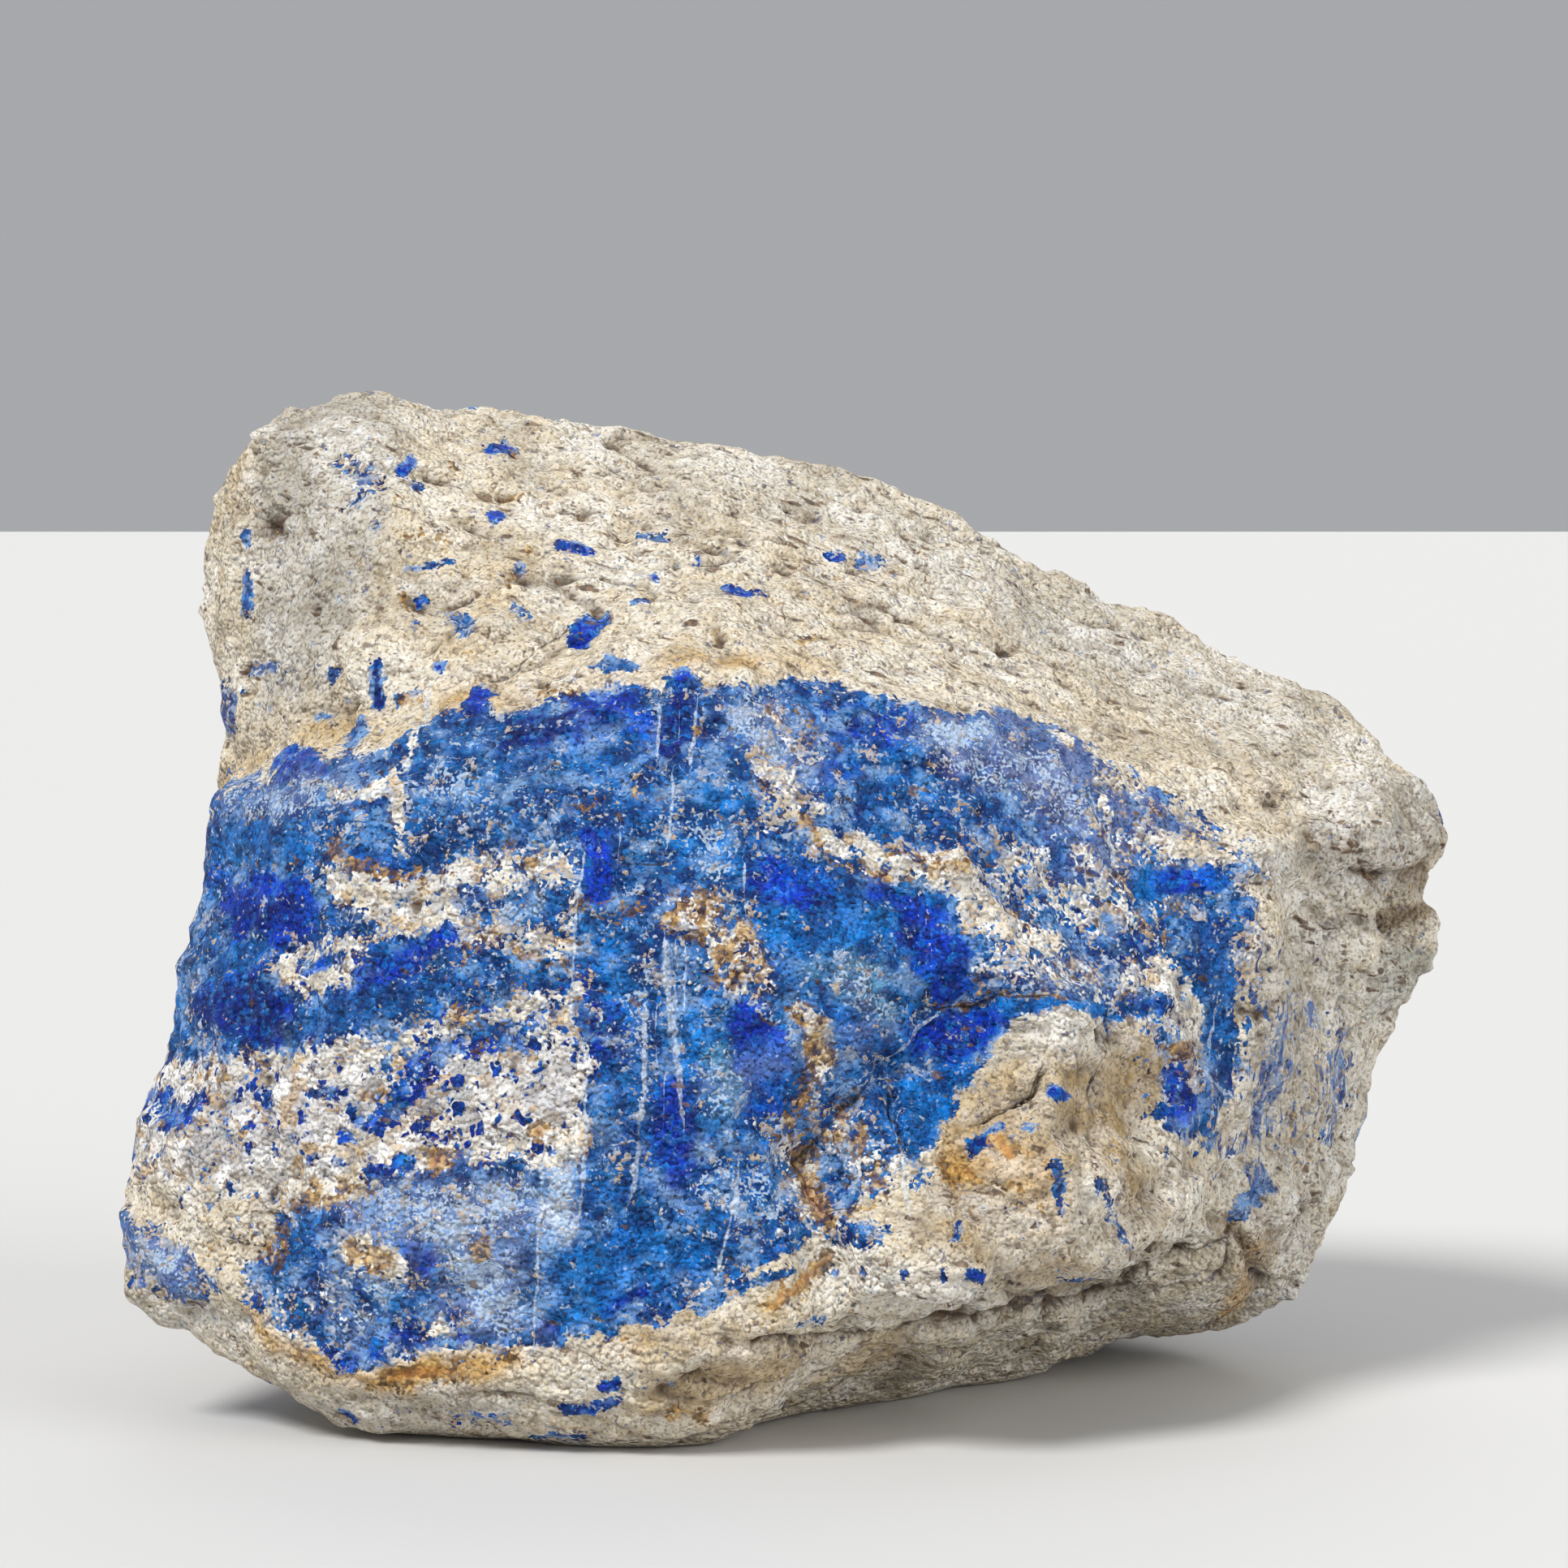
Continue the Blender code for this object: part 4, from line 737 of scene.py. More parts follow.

# %% Rust, and soil with painted shade
RUST = [  # share, softness in pixels, shape
    (0.75, 14, [(500, 728, 6), (500, 744, 7)]), (0.6, 12, [(620, 610, 8), (640, 610, 7)]),
    (0.5, 12, [(493, 618, 12)]), (0.45, 20, [(484, 660, 12), (540, 664, 14), (570, 690, 12)]),
    (0.7, 10, [(496, 866, 7), (520, 864, 7)]), (0.75, 10, [(392, 901, 5), (410, 898, 5)]),
    (0.5, 10, [(440, 512, 6)]), (0.4, 14, [(630, 560, 14)]), (0.5, 10, [(1032, 706, 9), (1038, 722, 6)]),
    (0.4, 14, [(1120, 684, 10), (1160, 688, 10)]), (0.7, 8, [(883, 779, 7)]),
    (0.7, 8, [(986, 786, 5), (1010, 782, 6)]), (0.35, 16, [(590, 700, 14), (560, 720, 12)]),
    (0.5, 12, [(357, 1060, 9)]), (0.55, 12, [(408, 1034, 12)]), (0.6, 10, [(457, 1080, 9)]),
    (0.7, 10, [(511, 1070, 7), (511, 1104, 8)]), (0.55, 12, [(649, 1060, 12)]),
    (0.6, 12, [(725, 985, 12)]), (0.8, 8, [(779, 976, 6)]), (0.8, 7, [(858, 896, 6)]),
    (0.4, 18, [(960, 880, 14), (1000, 900, 14)]), (0.45, 16, [(930, 960, 10), (970, 1010, 12)]),
    (0.75, 9, [(990, 1004, 8), (1000, 1030, 8), (1014, 1042, 6)]),
    (0.55, 10, [(1040, 1066, 6), (1090, 1078, 7), (1130, 1088, 5)]),
    (0.55, 12, [(1094, 1040, 8), (1135, 1060, 10), (1186, 1062, 9)]),
    (0.5, 14, [(720, 1116, 10), (790, 1120, 14)]),
    (0.55, 14, [(816, 1136, 8), (850, 1110, 9), (890, 1112, 9), (925, 1150, 8), (936, 1190, 9)]),
    (0.6, 18, [(840, 1128, 8), (880, 1150, 18), (900, 1200, 20)]),
    (0.64, 16, [(976, 1240, 10), (1004, 1270, 18), (1014, 1300, 16), (1000, 1340, 10)]),
    (0.55, 18, [(1000, 1330, 14), (980, 1380, 14), (960, 1420, 10)]),
    (0.5, 16, [(1050, 1400, 20), (1080, 1450, 20)]),
    (0.55, 14, [(400, 1050, 12), (460, 1072, 14), (520, 1090, 14)]),
    (0.5, 14, [(570, 1180, 10), (600, 1160, 8), (690, 1190, 12)]),
    (0.8, 12, [(990, 1436, 9), (1000, 1470, 12), (1014, 1494, 12)]),
    (0.55, 12, [(1060, 1350, 6), (1030, 1392, 8), (1000, 1420, 8)]), (0.6, 8, [(820, 1212, 5)]),
    (0.45, 14, [(780, 1126, 10)]), (0.7, 8, [(1210, 1226, 4), (1250, 1224, 5), (1320, 1228, 4)]),
    (0.6, 10, [(1160, 1236, 6), (1190, 1238, 6)]), (0.5, 14, [(243, 1326, 10), (276, 1330, 7)]),
    (0.6, 9, [(446, 1350, 7)]), (0.55, 12, [(560, 1256, 8), (590, 1254, 8)]),
    (0.55, 10, [(636, 1252, 8)]), (0.8, 12, [(534, 1432, 10), (552, 1428, 8)]),
    (0.75, 12, [(660, 1396, 12), (674, 1390, 8)]), (0.5, 10, [(589, 1363, 8)]),
    (0.55, 10, [(658, 1342, 5), (682, 1338, 5)]),
    (0.45, 18, [(350, 1470, 9), (400, 1456, 10), (440, 1460, 8)]),
    (0.4, 20, [(195, 1480, 12), (226, 1500, 12)]),
    (0.35, 24, [(260, 1540, 14), (320, 1530, 14), (330, 1580, 10)]),
    (0.6, 12, [(434, 1540, 10), (470, 1556, 12)]), (0.67, 10, [(588, 1534, 11), (592, 1548, 9)]),
    (0.5, 12, [(500, 1500, 8)]), (0.5, 14, [(320, 1640, 8), (360, 1672, 10), (390, 1684, 7)]),
    (0.85, 16, [(480, 1694, 12), (520, 1690, 18), (556, 1694, 12)]),
    (0.6, 16, [(436, 1706, 8), (600, 1684, 11), (640, 1674, 7)]),
    (0.55, 10, [(760, 1652, 6), (800, 1640, 6)]),
    (0.85, 14, [(950, 1612, 12), (990, 1580, 14), (1026, 1548, 9)]),
    (0.7, 12, [(950, 1646, 10), (956, 1620, 8)]), (0.8, 12, [(812, 1744, 5), (866, 1742, 7)]),
    (0.6, 12, [(1012, 1514, 7), (1090, 1476, 8)]), (0.95, 14, [(1228, 1400, 10), (1244, 1420, 12)]),
    (0.75, 16, [(1166, 1440, 14), (1200, 1450, 18)]), (0.45, 22, [(1250, 1450, 22), (1270, 1490, 16)]),
    (0.6, 10, [(1174, 1536, 8)]), (0.4, 16, [(1160, 1410, 10), (1200, 1372, 8)]),
    (0.6, 9, [(1338, 1552, 6)]), (0.6, 10, [(1440, 1294, 8), (1480, 1290, 8)]),
    (0.4, 14, [(1412, 1140, 12)]), (0.45, 12, [(1536, 1160, 8), (1530, 1230, 6)]),
    (0.85, 12, [(1506, 1618, 9), (1530, 1606, 7)]), (0.4, 22, [(1530, 1560, 14), (1570, 1520, 14)]),
    (0.5, 12, [(1568, 1228, 9)]), (0.35, 26, [(1440, 920, 14), (1480, 940, 12)]),
    (0.67, 14, [(438, 1536, 14), (472, 1556, 16)]), (0.67, 12, [(590, 1540, 13)]),
    (0.75, 12, [(276, 1326, 10)]), (0.75, 10, [(446, 1350, 9), (470, 1340, 7)]),
    (0.8, 12, [(534, 1432, 14)]), (0.75, 12, [(664, 1394, 14)]),
    (0.6, 16, [(350, 1478, 12), (400, 1470, 14), (440, 1462, 10)]),
    (0.6, 14, [(330, 1500, 10), (345, 1560, 14)]), (0.6, 14, [(668, 848, 8), (700, 846, 8)]),
    (0.5, 16, [(624, 724, 10), (656, 676, 8)]), (0.55, 16, [(560, 806, 12), (600, 800, 10)]),
    (0.5, 12, [(624, 610, 9)]), (0.5, 12, [(560, 580, 14)]),
]
# Dark dirt, and painted shade: the marks along the bottom edge, in the undercuts, in the hollows low on the
# front and in the crevice under the hump are painted shade.
SOIL_AND_SHADE = [  # share, softness in pixels, shape
    (0.36, 60, [(560, 560), (1000, 580), (1130, 640), (1060, 800), (900, 800), (600, 760), (470, 640)]),
    (0.20, 60, [(1000, 620), (1300, 720), (1640, 880), (1700, 980), (1480, 980), (1300, 860),
     (1060, 800)]), (0.45, 26, [(1620, 1010, 14), (1680, 1060, 26), (1750, 1060, 20)]),
    (0.5, 18, [(1560, 1116, 6), (1634, 1140, 12), (1690, 1130, 12), (1746, 1126, 8)]),
    (0.45, 20, [(1690, 1200, 12), (1740, 1210, 18)]),
    (0.30, 30, [(360, 560, 20), (400, 640, 40), (380, 740, 30)]), (0.6, 16, [(366, 548, 8)]),
    (0.35, 20, [(600, 800, 14), (560, 830, 12), (640, 790, 10)]),
    (0.5, 12, [(840, 632, 5), (894, 634, 6)]), (0.5, 12, [(938, 627, 5), (992, 632, 5)]),
    (0.5, 12, [(878, 609, 5), (1006, 609, 5)]), (0.55, 12, [(1044, 832, 7), (1100, 838, 5)]),
    (0.45, 12, [(1160, 834, 6)]), (0.40, 16, [(1470, 930, 14), (1500, 944, 10)]),
    (0.40, 18, [(1530, 970, 8), (1600, 990, 10)]), (0.30, 16, [(1481, 1000, 9), (1550, 1016, 9)]),
    (0.4, 14, [(1280, 790, 8), (1340, 810, 8)]),
    (0.45, 14, [(420, 1120, 8), (470, 1140, 12), (500, 1130, 8)]),
    (0.4, 14, [(600, 1150, 8), (690, 1200, 8)]),
    (0.5, 14, [(978, 1380, 10), (990, 1440, 10), (1010, 1490, 12)]),
    (0.8, 8, [(1160, 1240, 6), (1200, 1240, 7), (1234, 1234, 4)]),
    (0.7, 16, [(984, 1244, 10), (1010, 1290, 16), (1000, 1350, 10)]),
    (0.55, 20, [(960, 1400, 14), (1000, 1460, 20), (1060, 1440, 20)]),
    (0.6, 30, [(1640, 1010, 14), (1700, 1040, 26), (1760, 1060, 14)]),
    (0.5, 26, [(1580, 1120, 12), (1660, 1180, 20), (1740, 1200, 20)]),
    (0.6, 16, [(1600, 1440, 8), (1630, 1490, 12)]), (0.5, 18, [(1500, 1500, 8), (1550, 1560, 14)]),
    (0.4, 24, [(1180, 1470, 20), (1260, 1480, 24)]), (0.45, 14, [(1196, 1502, 12), (1210, 1480, 12)]),
    (0.75, 14, [(336, 1500, 8), (350, 1556, 10)]),
    (0.40, 22, [(1230, 1608, 8), (1300, 1600, 12), (1380, 1572, 12), (1430, 1544, 7)]),
    (0.6, 14, [(1236, 1664, 8), (1280, 1660, 8)]),
    (0.55, 12, [(960, 1656, 6), (1060, 1652, 9), (1150, 1636, 7), (1290, 1620, 6)]),
    (0.45, 16, [(834, 1706, 7), (900, 1712, 9)]),
    (0.45, 20, [(1556, 1450, 12), (1600, 1490, 14), (1626, 1500, 8)]),
    (0.40, 20, [(1490, 1530, 12), (1450, 1560, 10)]),
    (0.40, 24, [(300, 1500, 14), (330, 1540, 12), (300, 1590, 12)]),
    (0.35, 16, [(350, 1466, 8), (430, 1458, 8)]),
    (0.40, 10, [(500, 1770, 8), (640, 1776, 8), (800, 1772, 8)]),
    (0.30, 20, [(1560, 1140, 9), (1584, 1230, 10), (1566, 1300, 8)]),
    (0.35, 20, [(1200, 1190, 10), (1300, 1196, 14), (1380, 1216, 9)]),
    (0.30, 30, [(1240, 1030, 18), (1330, 1110, 24)]),
]
SOIL_EVERYWHERE = 0.16
rust, soil_and_shade = np.zeros(len(places)), np.full(len(places), SOIL_EVERYWHERE)
mixed_zone = face_share * np.clip(5.6 * lapis * (1 - lapis) - 0.4, 0, 1)
rust += 0.03 * face_share * (lapis < 0.94) + 0.24 * mixed_zone
for field, marks in ((rust, RUST), (soil_and_shade, SOIL_AND_SHADE)):
    for amount, softness, shape in marks:
        field += np.maximum(amount - field, 0) * inside(near_spots, shape, 2 * softness) * shown
print("rust marks:", len(RUST), "soil marks:", len(SOIL_AND_SHADE))

# %% Veils of white and dull areas over the blue
VEILS = [  # share, softness in pixels, shape
    (0.6, 30, [(470, 1490, 20), (560, 1500, 34), (640, 1480, 24)]),
    (0.75, 24, [(580, 1560, 30), (620, 1620, 30)]), (0.5, 22, [(470, 1590, 18), (440, 1620, 16)]),
    (0.7, 16, [(688, 1420, 14), (694, 1510, 16)]), (0.45, 24, [(300, 980, 20), (400, 980, 22)]),
    (0.35, 40, [(560, 960, 40), (620, 980, 34)]), (0.5, 26, [(920, 880, 30), (960, 940, 24)]),
    (0.42, 30, [(1190, 920, 26), (1290, 950, 30), (1340, 1000, 20)]),
    (0.9, 14, [(1156, 900, 12), (1206, 902, 13)]), (0.45, 20, [(870, 1020, 24), (880, 1070, 22)]),
    (0.5, 18, [(890, 1300, 14), (894, 1360, 16)]), (0.4, 20, [(1050, 1210, 26), (1090, 1260, 16)]),
    (0.35, 20, [(1504, 1240, 10), (1506, 1290, 10)]), (0.3, 24, [(310, 990, 14)]),
    (0.35, 22, [(880, 1450, 22), (960, 1480, 26)]), (0.35, 20, [(1070, 1450, 24), (1050, 1420, 18)]),
    (0.4, 20, [(560, 1130, 16), (640, 1120, 20)]), (0.3, 24, [(780, 1200, 20), (790, 1300, 18)]),
    (0.6, 16, [(170, 1540, 14), (210, 1550, 16)]),
]
DULL = [  # share, softness in pixels, shape
    (0.9, 40, [(1150, 890, 20), (1240, 920, 40), (1330, 960, 44), (1350, 1060, 40)]),
    (0.8, 30, [(1400, 1000, 24), (1460, 1020, 20)]),
    (0.9, 40, [(1600, 1180, 40), (1610, 1300, 60), (1580, 1420, 50)]),
    (0.7, 30, [(470, 1500, 40), (620, 1500, 40), (600, 1620, 30)]),
    (0.8, 30, [(150, 1530, 20), (220, 1560, 40)]), (0.6, 30, [(940, 890, 30), (990, 940, 30)]),
    (0.6, 26, [(1300, 1200, 24), (1390, 1210, 16)]), (0.5, 30, [(300, 980, 24), (420, 960, 24)]),
    (0.5, 24, [(1050, 1210, 26), (1090, 1270, 16), (890, 1330, 20)]),
]
veil, dull = painted(VEILS), painted(DULL, 1.5)
print("veils:", len(VEILS), "dull areas:", len(DULL))

# %% [markdown]
# ## Veins and cracks
# A white vein is thinner than the mesh is fine, so a mask would turn it into a row of blots.
# Instead we store, for every vertex, the signed distance across the nearest vein. Blender blends
# that number smoothly over each face, and the material draws the vein where it passes zero.

# %% Signed distance to thin lines
def across_lines(lines, reach_px=26):
    """For each vertex: the distance across the nearest line in half widths, and how near it is."""
    best = np.full(len(places), 1e4)
    side = np.full(len(places), 9.0)
    for half_width, line in lines:
        line = np.array(line, float)
        for start, end in zip(line[:-1], line[1:]):
            way = end - start
            share = (near_spots @ way - start @ way) / (way @ way)
            held = np.clip(share, 0, 1)
            gap = near_spots - start - held[:, None] * way
            distance = np.linalg.norm(gap, axis=1)
            across = (way[0] * gap[:, 1] - way[1] * gap[:, 0]) / np.linalg.norm(way)
            beyond = np.abs(share - held) * np.linalg.norm(way)
            closer = distance < best
            best = np.where(closer, distance, best)
            side = np.where(closer, (across + np.copysign(beyond, across)) / half_width, side)
    return side, np.clip(2 - best / (reach_px / 2), 0, 1) * shown


VEINS = [  # half width in pixels, line
    (4.5, [(718, 1325), (720, 1400), (716, 1500)]),
    (5.5, [(796, 1246), (792, 1330), (788, 1420), (776, 1484)]),
    (5.0, [(820, 1162), (823, 1216), (834, 1279), (841, 1370)]), (2.4, [(845, 1176), (846, 1240)]),
    (2.6, [(669, 1436), (662, 1540), (657, 1676)]), (1.6, [(766, 1012), (764, 1060), (762, 1086)]),
    (2.2, [(814, 872), (812, 926)]), (3.0, [(858, 872), (853, 936)]),
    (2.2, [(720, 1050), (706, 1140), (704, 1250)]), (3.4, [(758, 1410), (788, 1402)]),
    (2.6, [(408, 992), (450, 976), (496, 966)]), (3.0, [(494, 944), (520, 892), (534, 846)]),
    (3.0, [(1104, 1408), (1112, 1450), (1122, 1488)]), (2.6, [(1096, 1304), (1130, 1272), (1156, 1250)]),
    (3.0, [(1480, 1316), (1500, 1336), (1512, 1346)]), (2.4, [(1500, 1250), (1494, 1290)]),
    (3.4, [(912, 1444), (902, 1500), (886, 1560)]), (3.4, [(1354, 986), (1372, 1050), (1384, 1096)]),
    (1.8, [(832, 950), (826, 1040)]), (1.8, [(916, 1060), (920, 1130)]),
]
# Painted shade: dark lines along the cracks, the crease on the slope and the undercuts.
CRACKS = [  # half width in pixels, line
    (2.6, [(1280, 1318), (1268, 1342), (1236, 1366), (1206, 1384)]),
    (3.0, [(1094, 1346), (1096, 1362), (1103, 1388), (1104, 1412)]),
    (2.4, [(1084, 1314), (1048, 1363), (1013, 1404), (988, 1432)]),
    (2.2, [(1150, 1244), (1200, 1240), (1232, 1230), (1300, 1226)]), (2.4, [(764, 1061), (826, 1059)]),
    (2.0, [(698, 770), (660, 800), (631, 824)]),
    (2.6, [(960, 1656), (1060, 1653), (1150, 1637), (1290, 1619)]),
    (2.4, [(1516, 1530), (1418, 1564), (1355, 1596)]), (2.0, [(1366, 1258), (1360, 1300), (1350, 1350)]),
    (2.2, [(988, 1432), (1000, 1466), (1014, 1492), (1046, 1488)]),
    (1.8, [(964, 748), (986, 776), (1008, 784)]), (1.8, [(1400, 1404), (1440, 1420), (1462, 1440)]),
    (1.6, [(1480, 1530), (1430, 1560), (1400, 1590)]),
]
vein_side, vein_near = across_lines(VEINS)
crack_side, crack_near = across_lines(CRACKS)
print("veins:", len(VEINS), "cracks:", len(CRACKS))

# %% [markdown]
# ## The sides that the photograph hides
# The same rock goes on round the back, so it gets the same minerals from three-dimensional
# noise: seams of lapis that dip like the layers in front, rust beside them, and grey and tan
# clouds in the marble. The hidden fields fade in exactly where the painted ones fade out.

# %% Minerals of the hidden sides
def step_up(values, start, end):
    share = np.clip((values - start) / (end - start), 0, 1)
    return share * share * (3 - 2 * share)


SEAM_ACROSS = np.array((0.30, 0.25, 0.92))  # at right angles to the seam
SEAM_HEIGHT, SEAM_HALF_WIDTH = 52, 11  # in mm
hidden = 1 - shown
bend = places + 0.012 * np.stack([unevenness(places, 34, seed) for seed in (21.0, 31.0, 41.0)], 1)
seam = np.abs(bend @ SEAM_ACROSS / MM - SEAM_HEIGHT) / SEAM_HALF_WIDTH
seam_share = step_up(1.3 - seam + 0.8 * unevenness(places, 22, 51.0), 0, 0.9)
blots = step_up(unevenness(places, 26, 61.0) + 0.5 * unevenness(places, 9, 62.0), 0.34, 0.62)
breaks = step_up(unevenness(places, 30, 71.0), -0.25, 0.25)
back_lapis = np.clip(0.78 * seam_share * breaks + 0.85 * blots, 0, 0.92)
back_blue = towards(PAINTS["cobalt"], "royal", step_up(unevenness(places, 15, 81.0), -0.2, 0.3))
back_blue = towards(back_blue, "slate", step_up(unevenness(places, 18, 82.0), 0.05, 0.4))
lapis += hidden * (back_lapis + 0.04)
blue_tint += (back_blue - blue_tint) * hidden[:, None]
clouds = unevenness(bend, 24, 91.0)
back_rock = towards(PAINTS["cream"], "ash", step_up(clouds, -0.1, 0.3))
back_rock = towards(back_rock, "tan", 0.7 * step_up(-clouds, 0.05, 0.4))
back_rock = towards(back_rock, "grey", 0.7 * step_up(unevenness(bend, 30, 92.0), 0.0, 0.4))
rock_tint += (back_rock - rock_tint) * hidden[:, None]
rust += hidden * 0.55 * step_up(unevenness(places, 20, 95.0) + 0.5 * seam_share, 0.3, 0.8)
soil_and_shade += hidden * 0.22 * step_up(unevenness(places, 16, 97.0), -0.1, 0.4)
veil += hidden * 0.5 * step_up(unevenness(places, 20, 99.0), 0.0, 0.4)
print("mean share of blue on the hidden sides:", round(float((lapis * hidden).sum() / hidden.sum()), 3))

# %% Store the masks on the mesh
MASKS = {
    "lapis": lapis, "dots": dots, "hollow_shade_and_dirt": np.clip(hollow_shade_and_dirt, 0, 1), "upright": upright, "rust": rust,
    "soil_and_shade": soil_and_shade, "veil": veil, "face": face_share, "dull": dull, "vein_side": vein_side,
    "vein_near": vein_near, "crack_side": crack_side, "crack_near": crack_near,
}
for name, values in MASKS.items():
    stone_mesh.attributes.new(name, "FLOAT", "POINT").data.foreach_set("value", values.astype(np.float32))
for name, colours in (("rock_tint", rock_tint), ("blue_tint", blue_tint)):
    rows = np.concatenate((np.clip(colours, 0, 1), np.ones((len(colours), 1))), 1).astype(np.float32)
    stone_mesh.attributes.new(name, "FLOAT_COLOR", "POINT").data.foreach_set("color", rows.ravel())
print("attributes:", [attribute.name for attribute in stone_mesh.attributes if attribute.name in MASKS])

# %% [markdown]
# ## Grain
# Nearly every mineral here shows as grains, and three small node groups do most of the work.
# `grain` spreads a noise over the whole range from 0 to 1. `crystals` breaks space into bent
# grains and gives each of them random numbers of its own. The finest crystals use the plain
# Voronoi texture instead, which is quicker. `coverage` compares a share with such a
# number, and returns a crisp mask that covers about that share of the surface.

# %% Node helpers
def add(tree, kind, **values):
    """A new node. A value goes to the node's own setting, or else to the input of that name."""
    made = tree.nodes.new(kind)
    for name, value in values.items():
        if hasattr(made, name):
            setattr(made, name, value)
            continue
        socket = made.inputs[name] if name in made.inputs else made.inputs[int(name.strip("_"))]
        if isinstance(value, bpy.types.NodeSocket):
            tree.links.new(value, socket)
        else:
            socket.default_value = value
    return made


def sockets(group, inputs, outputs):
    for name, kind in inputs:
        group.interface.new_socket(name, in_out="INPUT", socket_type=kind)
    for name, kind in outputs:
        group.interface.new_socket(name, in_out="OUTPUT", socket_type=kind)
    return group.nodes.new("NodeGroupInput"), group.nodes.new("NodeGroupOutput")


def maths(tree, operation, first, second=0.0):
    return add(tree, "ShaderNodeMath", operation=operation, _0=first, _1=second).outputs[0]


print("helpers ready")

# %% The grain group
grain_group = bpy.data.node_groups.new("grain", "ShaderNodeTree")
source, result = sockets(
    grain_group,
    [("Vector", "NodeSocketVector"), ("Size", "NodeSocketFloat"), ("Detail", "NodeSocketFloat")],
    [("Value", "NodeSocketFloat")],
)
per_metre = maths(grain_group, "DIVIDE", 1000.0, source.outputs["Size"])
texture = add(
    grain_group, "ShaderNodeTexNoise", Vector=source.outputs["Vector"], Scale=per_metre, Roughness=0.62)
grain_group.links.new(source.outputs["Detail"], texture.inputs["Detail"])
spread = add(grain_group, "ShaderNodeMapRange", Value=texture.outputs["Fac"])
spread.inputs["From Min"].default_value = 0.3
spread.inputs["From Max"].default_value = 0.7
grain_group.links.new(spread.outputs["Result"], result.inputs["Value"])
print("grain group:", len(grain_group.nodes), "nodes")

# %% The crystals group
crystal_group = bpy.data.node_groups.new("crystals", "ShaderNodeTree")
source, result = sockets(
    crystal_group,
    [("Vector", "NodeSocketVector"), ("Size", "NodeSocketFloat")],
    [("Middle", "NodeSocketFloat"), ("Random", "NodeSocketColor")],
)
per_metre = maths(crystal_group, "DIVIDE", 1000.0, source.outputs["Size"])
scaled = add(
    crystal_group, "ShaderNodeVectorMath", operation="SCALE", _0=source.outputs["Vector"], Scale=per_metre)
waves = add(crystal_group, "ShaderNodeTexNoise", Vector=scaled.outputs[0], Scale=1.6, Detail=0.0)
centred = add(
    crystal_group, "ShaderNodeVectorMath", operation="SUBTRACT",
    _0=waves.outputs["Color"], _1=(0.5, 0.5, 0.5))
pushed = add(crystal_group, "ShaderNodeVectorMath", operation="SCALE", _0=centred.outputs[0], Scale=1.1)
bent = add(crystal_group, "ShaderNodeVectorMath", operation="ADD", _0=scaled.outputs[0], _1=pushed.outputs[0])
cells = add(crystal_group, "ShaderNodeTexVoronoi", Vector=bent.outputs[0], Scale=1.0)
crystal_group.links.new(cells.outputs["Distance"], result.inputs["Middle"])
crystal_group.links.new(cells.outputs["Color"], result.inputs["Random"])
print("crystals group:", len(crystal_group.nodes), "nodes")

# %% The coverage group
coverage_group = bpy.data.node_groups.new("coverage", "ShaderNodeTree")
source, result = sockets(
    coverage_group,
    [("Share", "NodeSocketFloat"), ("Grain", "NodeSocketFloat"), ("Edge", "NodeSocketFloat")],
    [("Mask", "NodeSocketFloat")],
)
excess = maths(coverage_group, "SUBTRACT", source.outputs["Share"], source.outputs["Grain"])
low = maths(coverage_group, "MULTIPLY", source.outputs["Edge"], -1.0)
ramp = add(coverage_group, "ShaderNodeMapRange", interpolation_type="SMOOTHSTEP", Value=excess)
coverage_group.links.new(low, ramp.inputs["From Min"])
coverage_group.links.new(source.outputs["Edge"], ramp.inputs["From Max"])
coverage_group.links.new(ramp.outputs["Result"], result.inputs["Mask"])
print("coverage group:", len(coverage_group.nodes), "nodes")

# %% [markdown]
# ## The stone's material
# One Principled shader does the whole stone. The colour is built in layers, in the order that
# nature did it: marble with painted shade in its hollows, blue grains with painted facet shade
# and glints among them, white veils and veins, then rust, and last dark specks of dirt and
# painted shade, and dark lines of painted shade along the cracks. The blue grains are a little
# glossier than the chalky marble.

# %% Inputs of the material
material = bpy.data.materials.new("marble_with_lapis")
material.use_nodes = True
tree = material.node_tree
shader = tree.nodes["Principled BSDF"]
place = add(tree, "ShaderNodeTexCoord").outputs["Object"]


def stretched(scale, turn_degrees):
    """Coordinates in which every grain is drawn out along the given axes."""
    mapping = add(tree, "ShaderNodeMapping", vector_type="TEXTURE", Vector=place)
    mapping.inputs["Rotation"].default_value = (0.0, math.radians(turn_degrees), 0.0)
    mapping.inputs["Scale"].default_value = scale
    return mapping.outputs["Vector"]


@cache
def mask(name):
    return add(tree, "ShaderNodeAttribute", attribute_name=name).outputs["Fac"]


def tint(name):
    return add(tree, "ShaderNodeAttribute", attribute_name=name).outputs["Color"]


def shift(where, seed):
    return add(tree, "ShaderNodeVectorMath", operation="ADD", _0=where, _1=(seed, seed, seed)).outputs[0]


def grain(size_mm, where=place, seed=0.0, detail=2.0):
    made = add(
        tree, "ShaderNodeGroup", node_tree=grain_group,
        Vector=shift(where, seed), Size=size_mm, Detail=detail)
    return made.outputs["Value"]


def crystals(size_mm, seed, bent=True):
    """How far it is to the middle of each crystal, and three random numbers of that crystal."""
    where = shift(place, seed)
    if bent:
        made = add(tree, "ShaderNodeGroup", node_tree=crystal_group, Vector=where, Size=size_mm)
    else:
        made = add(tree, "ShaderNodeTexVoronoi", Vector=where, Scale=1000 / size_mm)
    numbers = add(tree, "ShaderNodeSeparateColor")
    tree.links.new(made.outputs[1], numbers.inputs[0])
    return made.outputs[0], list(numbers.outputs)


